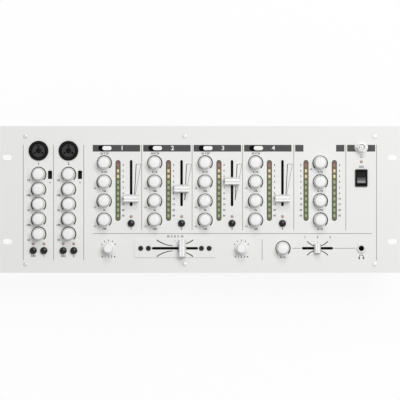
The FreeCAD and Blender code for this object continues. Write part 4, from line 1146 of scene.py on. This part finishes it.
class MIXER_OT_screws(bpy.types.Operator):
    """Makes the screws of the panel, the crossfader plate and the rear wall"""
    bl_idname = "mixer.screws"
    bl_label = "Screws"

    def execute(self, context):
        props = context.scene.mixer_screws
        hold(join("panel_screws", self.panel_heads(props)), "zinc_plate")
        hold(join("fader_plate_screws", self.plate_heads(props)), "black_oxide_steel")
        hold(join("rear_screws", self.rear_heads(props)), "black_oxide_steel")
        return {"FINISHED"}

    def panel_heads(self, props):
        """Two rows of three along the panel's long edges."""
        lo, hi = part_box("front_panel")
        columns = (lo.x + props.panel_side, -props.panel_middle, hi.x - props.panel_side)
        rows = (hi.y - props.panel_upper, lo.y + props.panel_lower)
        head = screw(props.panel_radius, props.panel_height, props.panel_recess)
        return copies(head, [(x, y, PANEL_TOP) for x in columns for y in rows])

    def plate_heads(self, props):
        """Two at each end of the crossfader's plate: one for the rail, one for the plate."""
        x, y, _ = centre("crossfader_plate")
        reaches = [side * reach for side in (-1, 1) for reach in (props.plate_inner, props.plate_outer)]
        head = screw(props.plate_radius, props.plate_height, props.plate_recess)
        return copies(head, [(x + reach, y, PLATE_TOP) for reach in reaches])

    def rear_heads(self, props):
        """One screw between each pair of phono sockets and two in the inlet's flange."""
        phono = phono_points()
        middle = (min(q.z for q in phono) + max(q.z for q in phono)) / 2
        inlet = mount_point("mains_inlet")
        places = [(x, props.rear_wall, middle) for x in sorted({q.x for q in phono})]
        places += [(inlet.x + side * props.inlet_reach, inlet.y, inlet.z) for side in (-1, 1)]
        head = screw(props.rear_radius, props.panel_height, props.panel_recess)
        head.rotation_euler.x = -math.pi / 2
        return copies(head, places)


class MIXER_OT_stage(bpy.types.Operator):
    """Sets the floor, the lamps and the camera of the photograph"""
    bl_idname = "mixer.stage"
    bl_label = "Stage"

    def execute(self, context):
        props = context.scene.mixer_stage
        fresh()
        floor_z = CAD_BOX[0].z - props.floor_drop
        bpy.ops.mesh.primitive_plane_add(size=props.floor_size, location=(0, 0, floor_z))
        floor = apply_place(named("floor"))
        floor.data.materials.append(self.floor_material(props))
        self.world(context, props)
        self.lamp("main_lamp", props.main_place, props.main_size, props.main_power)
        self.lamp("rear_lamp", props.rear_place, props.rear_size, props.rear_power)
        self.camera(context, props)
        context.scene.view_settings.view_transform = "Standard"
        return {"FINISHED"}

    def seen(self, tree):
        """1 where the camera sees it straight, in gloss or through glass, 0 where it lights the object."""
        path = add_node(tree, "ShaderNodeLightPath").outputs
        straight = {0: path["Is Camera Ray"], 1: path["Is Glossy Ray"]}
        first = add_node(tree, "ShaderNodeMath", links=straight, operation="MAXIMUM")
        both = {0: first.outputs[0], 1: path["Is Transmission Ray"]}
        return add_node(tree, "ShaderNodeMath", links=both, operation="MAXIMUM").outputs[0]

    def floor_material(self, props):
        """White paper: white to the camera and in reflections, dimmed a little where shadow falls."""
        mat = bpy.data.materials.new("white_paper")
        mat.use_nodes = True
        tree = mat.node_tree
        paper = tree.nodes["Principled BSDF"]
        paper.inputs["Base Color"].default_value = (*props.paper, 1.0)
        paper.inputs["Roughness"].default_value = 0.9
        glow = add_node(tree, "ShaderNodeEmission", {"Color": (1, 1, 1, 1), "Strength": 1.0})
        white = add_node(
            tree, "ShaderNodeMath", {1: props.floor_white}, {0: self.seen(tree)}, operation="MULTIPLY")
        mix = add_node(tree, "ShaderNodeMixShader", links={
            0: white.outputs[0], 1: paper.outputs["BSDF"], 2: glow.outputs["Emission"]})
        tree.links.new(mix.outputs["Shader"], tree.nodes["Material Output"].inputs["Surface"])
        return mat

    def world(self, context, props):
        """Even light, and pure white to the camera and in reflections."""
        world = context.scene.world or bpy.data.worlds.new("world")
        context.scene.world = world
        world.use_nodes = True
        tree = world.node_tree
        back = tree.nodes["Background"]
        back.inputs["Color"].default_value = (1, 1, 1, 1)
        strengths = {"To Min": props.sky, "To Max": 1.0}
        level = add_node(tree, "ShaderNodeMapRange", strengths, {"Value": self.seen(tree)})
        tree.links.new(level.outputs["Result"], back.inputs["Strength"])

    def lamp(self, name, place, size, power):
        """A soft square lamp that points at the middle of the mixer."""
        fresh()
        bpy.ops.object.light_add(type="AREA", location=place)
        ob = named(name)
        ob.data.size = size
        ob.data.energy = power
        aim = CAD_BOX[0].lerp(CAD_BOX[1], 0.5) - ob.location
        ob.rotation_euler = aim.to_track_quat("-Z", "Y").to_euler()

    def camera(self, context, props):
        """Straight above the panel, with the panel across the whole width of the picture."""
        width = CAD_BOX[1].x - CAD_BOX[0].x
        distance = width * props.lens / props.sensor
        fresh()
        bpy.ops.object.camera_add(
            location=(0, -props.camera_drop, PANEL_TOP + distance), rotation=(0, 0, 0))
        ob = named("camera")
        ob.data.lens = props.lens
        ob.data.sensor_width = props.sensor
        ob.data.clip_end = props.camera_far
        context.scene.camera = ob


class MIXER_PT_sidebar(bpy.types.Panel):
    """Settings and steps of the mixer"""
    bl_idname = "MIXER_PT_sidebar"
    bl_label = "Mixer"
    bl_space_type = "VIEW_3D"
    bl_region_type = "UI"
    bl_category = "Mixer"

    def draw(self, context):
        for group, cls in GROUPS.items():
            box = self.layout.box()
            for key in cls.__annotations__:
                box.prop(getattr(context.scene, group), key)
        for cls in OPERATORS:
            self.layout.operator(cls.bl_idname)


OPERATORS = (
    MIXER_OT_materials,
    MIXER_OT_finish_case,
    MIXER_OT_finish_controls,
    MIXER_OT_finish_sockets,
    MIXER_OT_print_lines,
    MIXER_OT_print_dials,
    MIXER_OT_print_figures,
    MIXER_OT_print_signs,
    MIXER_OT_meter_segments,
    MIXER_OT_screws,
    MIXER_OT_stage,
)


def register():
    for group, cls in GROUPS.items():
        bpy.utils.register_class(cls)
        setattr(bpy.types.Scene, group, bpy.props.PointerProperty(type=cls))
    for cls in OPERATORS:
        bpy.utils.register_class(cls)
    bpy.utils.register_class(MIXER_PT_sidebar)


def unregister():
    bpy.utils.unregister_class(MIXER_PT_sidebar)
    for cls in reversed(OPERATORS):
        bpy.utils.unregister_class(cls)
    for group, cls in GROUPS.items():
        delattr(bpy.types.Scene, group)
        bpy.utils.unregister_class(cls)


def main():
    """Runs every step in order."""
    register()
    bpy.ops.mixer.materials()
    bpy.ops.mixer.finish_case()
    bpy.ops.mixer.finish_controls()
    bpy.ops.mixer.finish_sockets()
    bpy.ops.mixer.print_lines()
    bpy.ops.mixer.print_dials()
    bpy.ops.mixer.print_figures()
    bpy.ops.mixer.print_signs()
    bpy.ops.mixer.meter_segments()
    bpy.ops.mixer.screws()
    bpy.ops.mixer.stage()


if __name__ == "__main__":
    main()
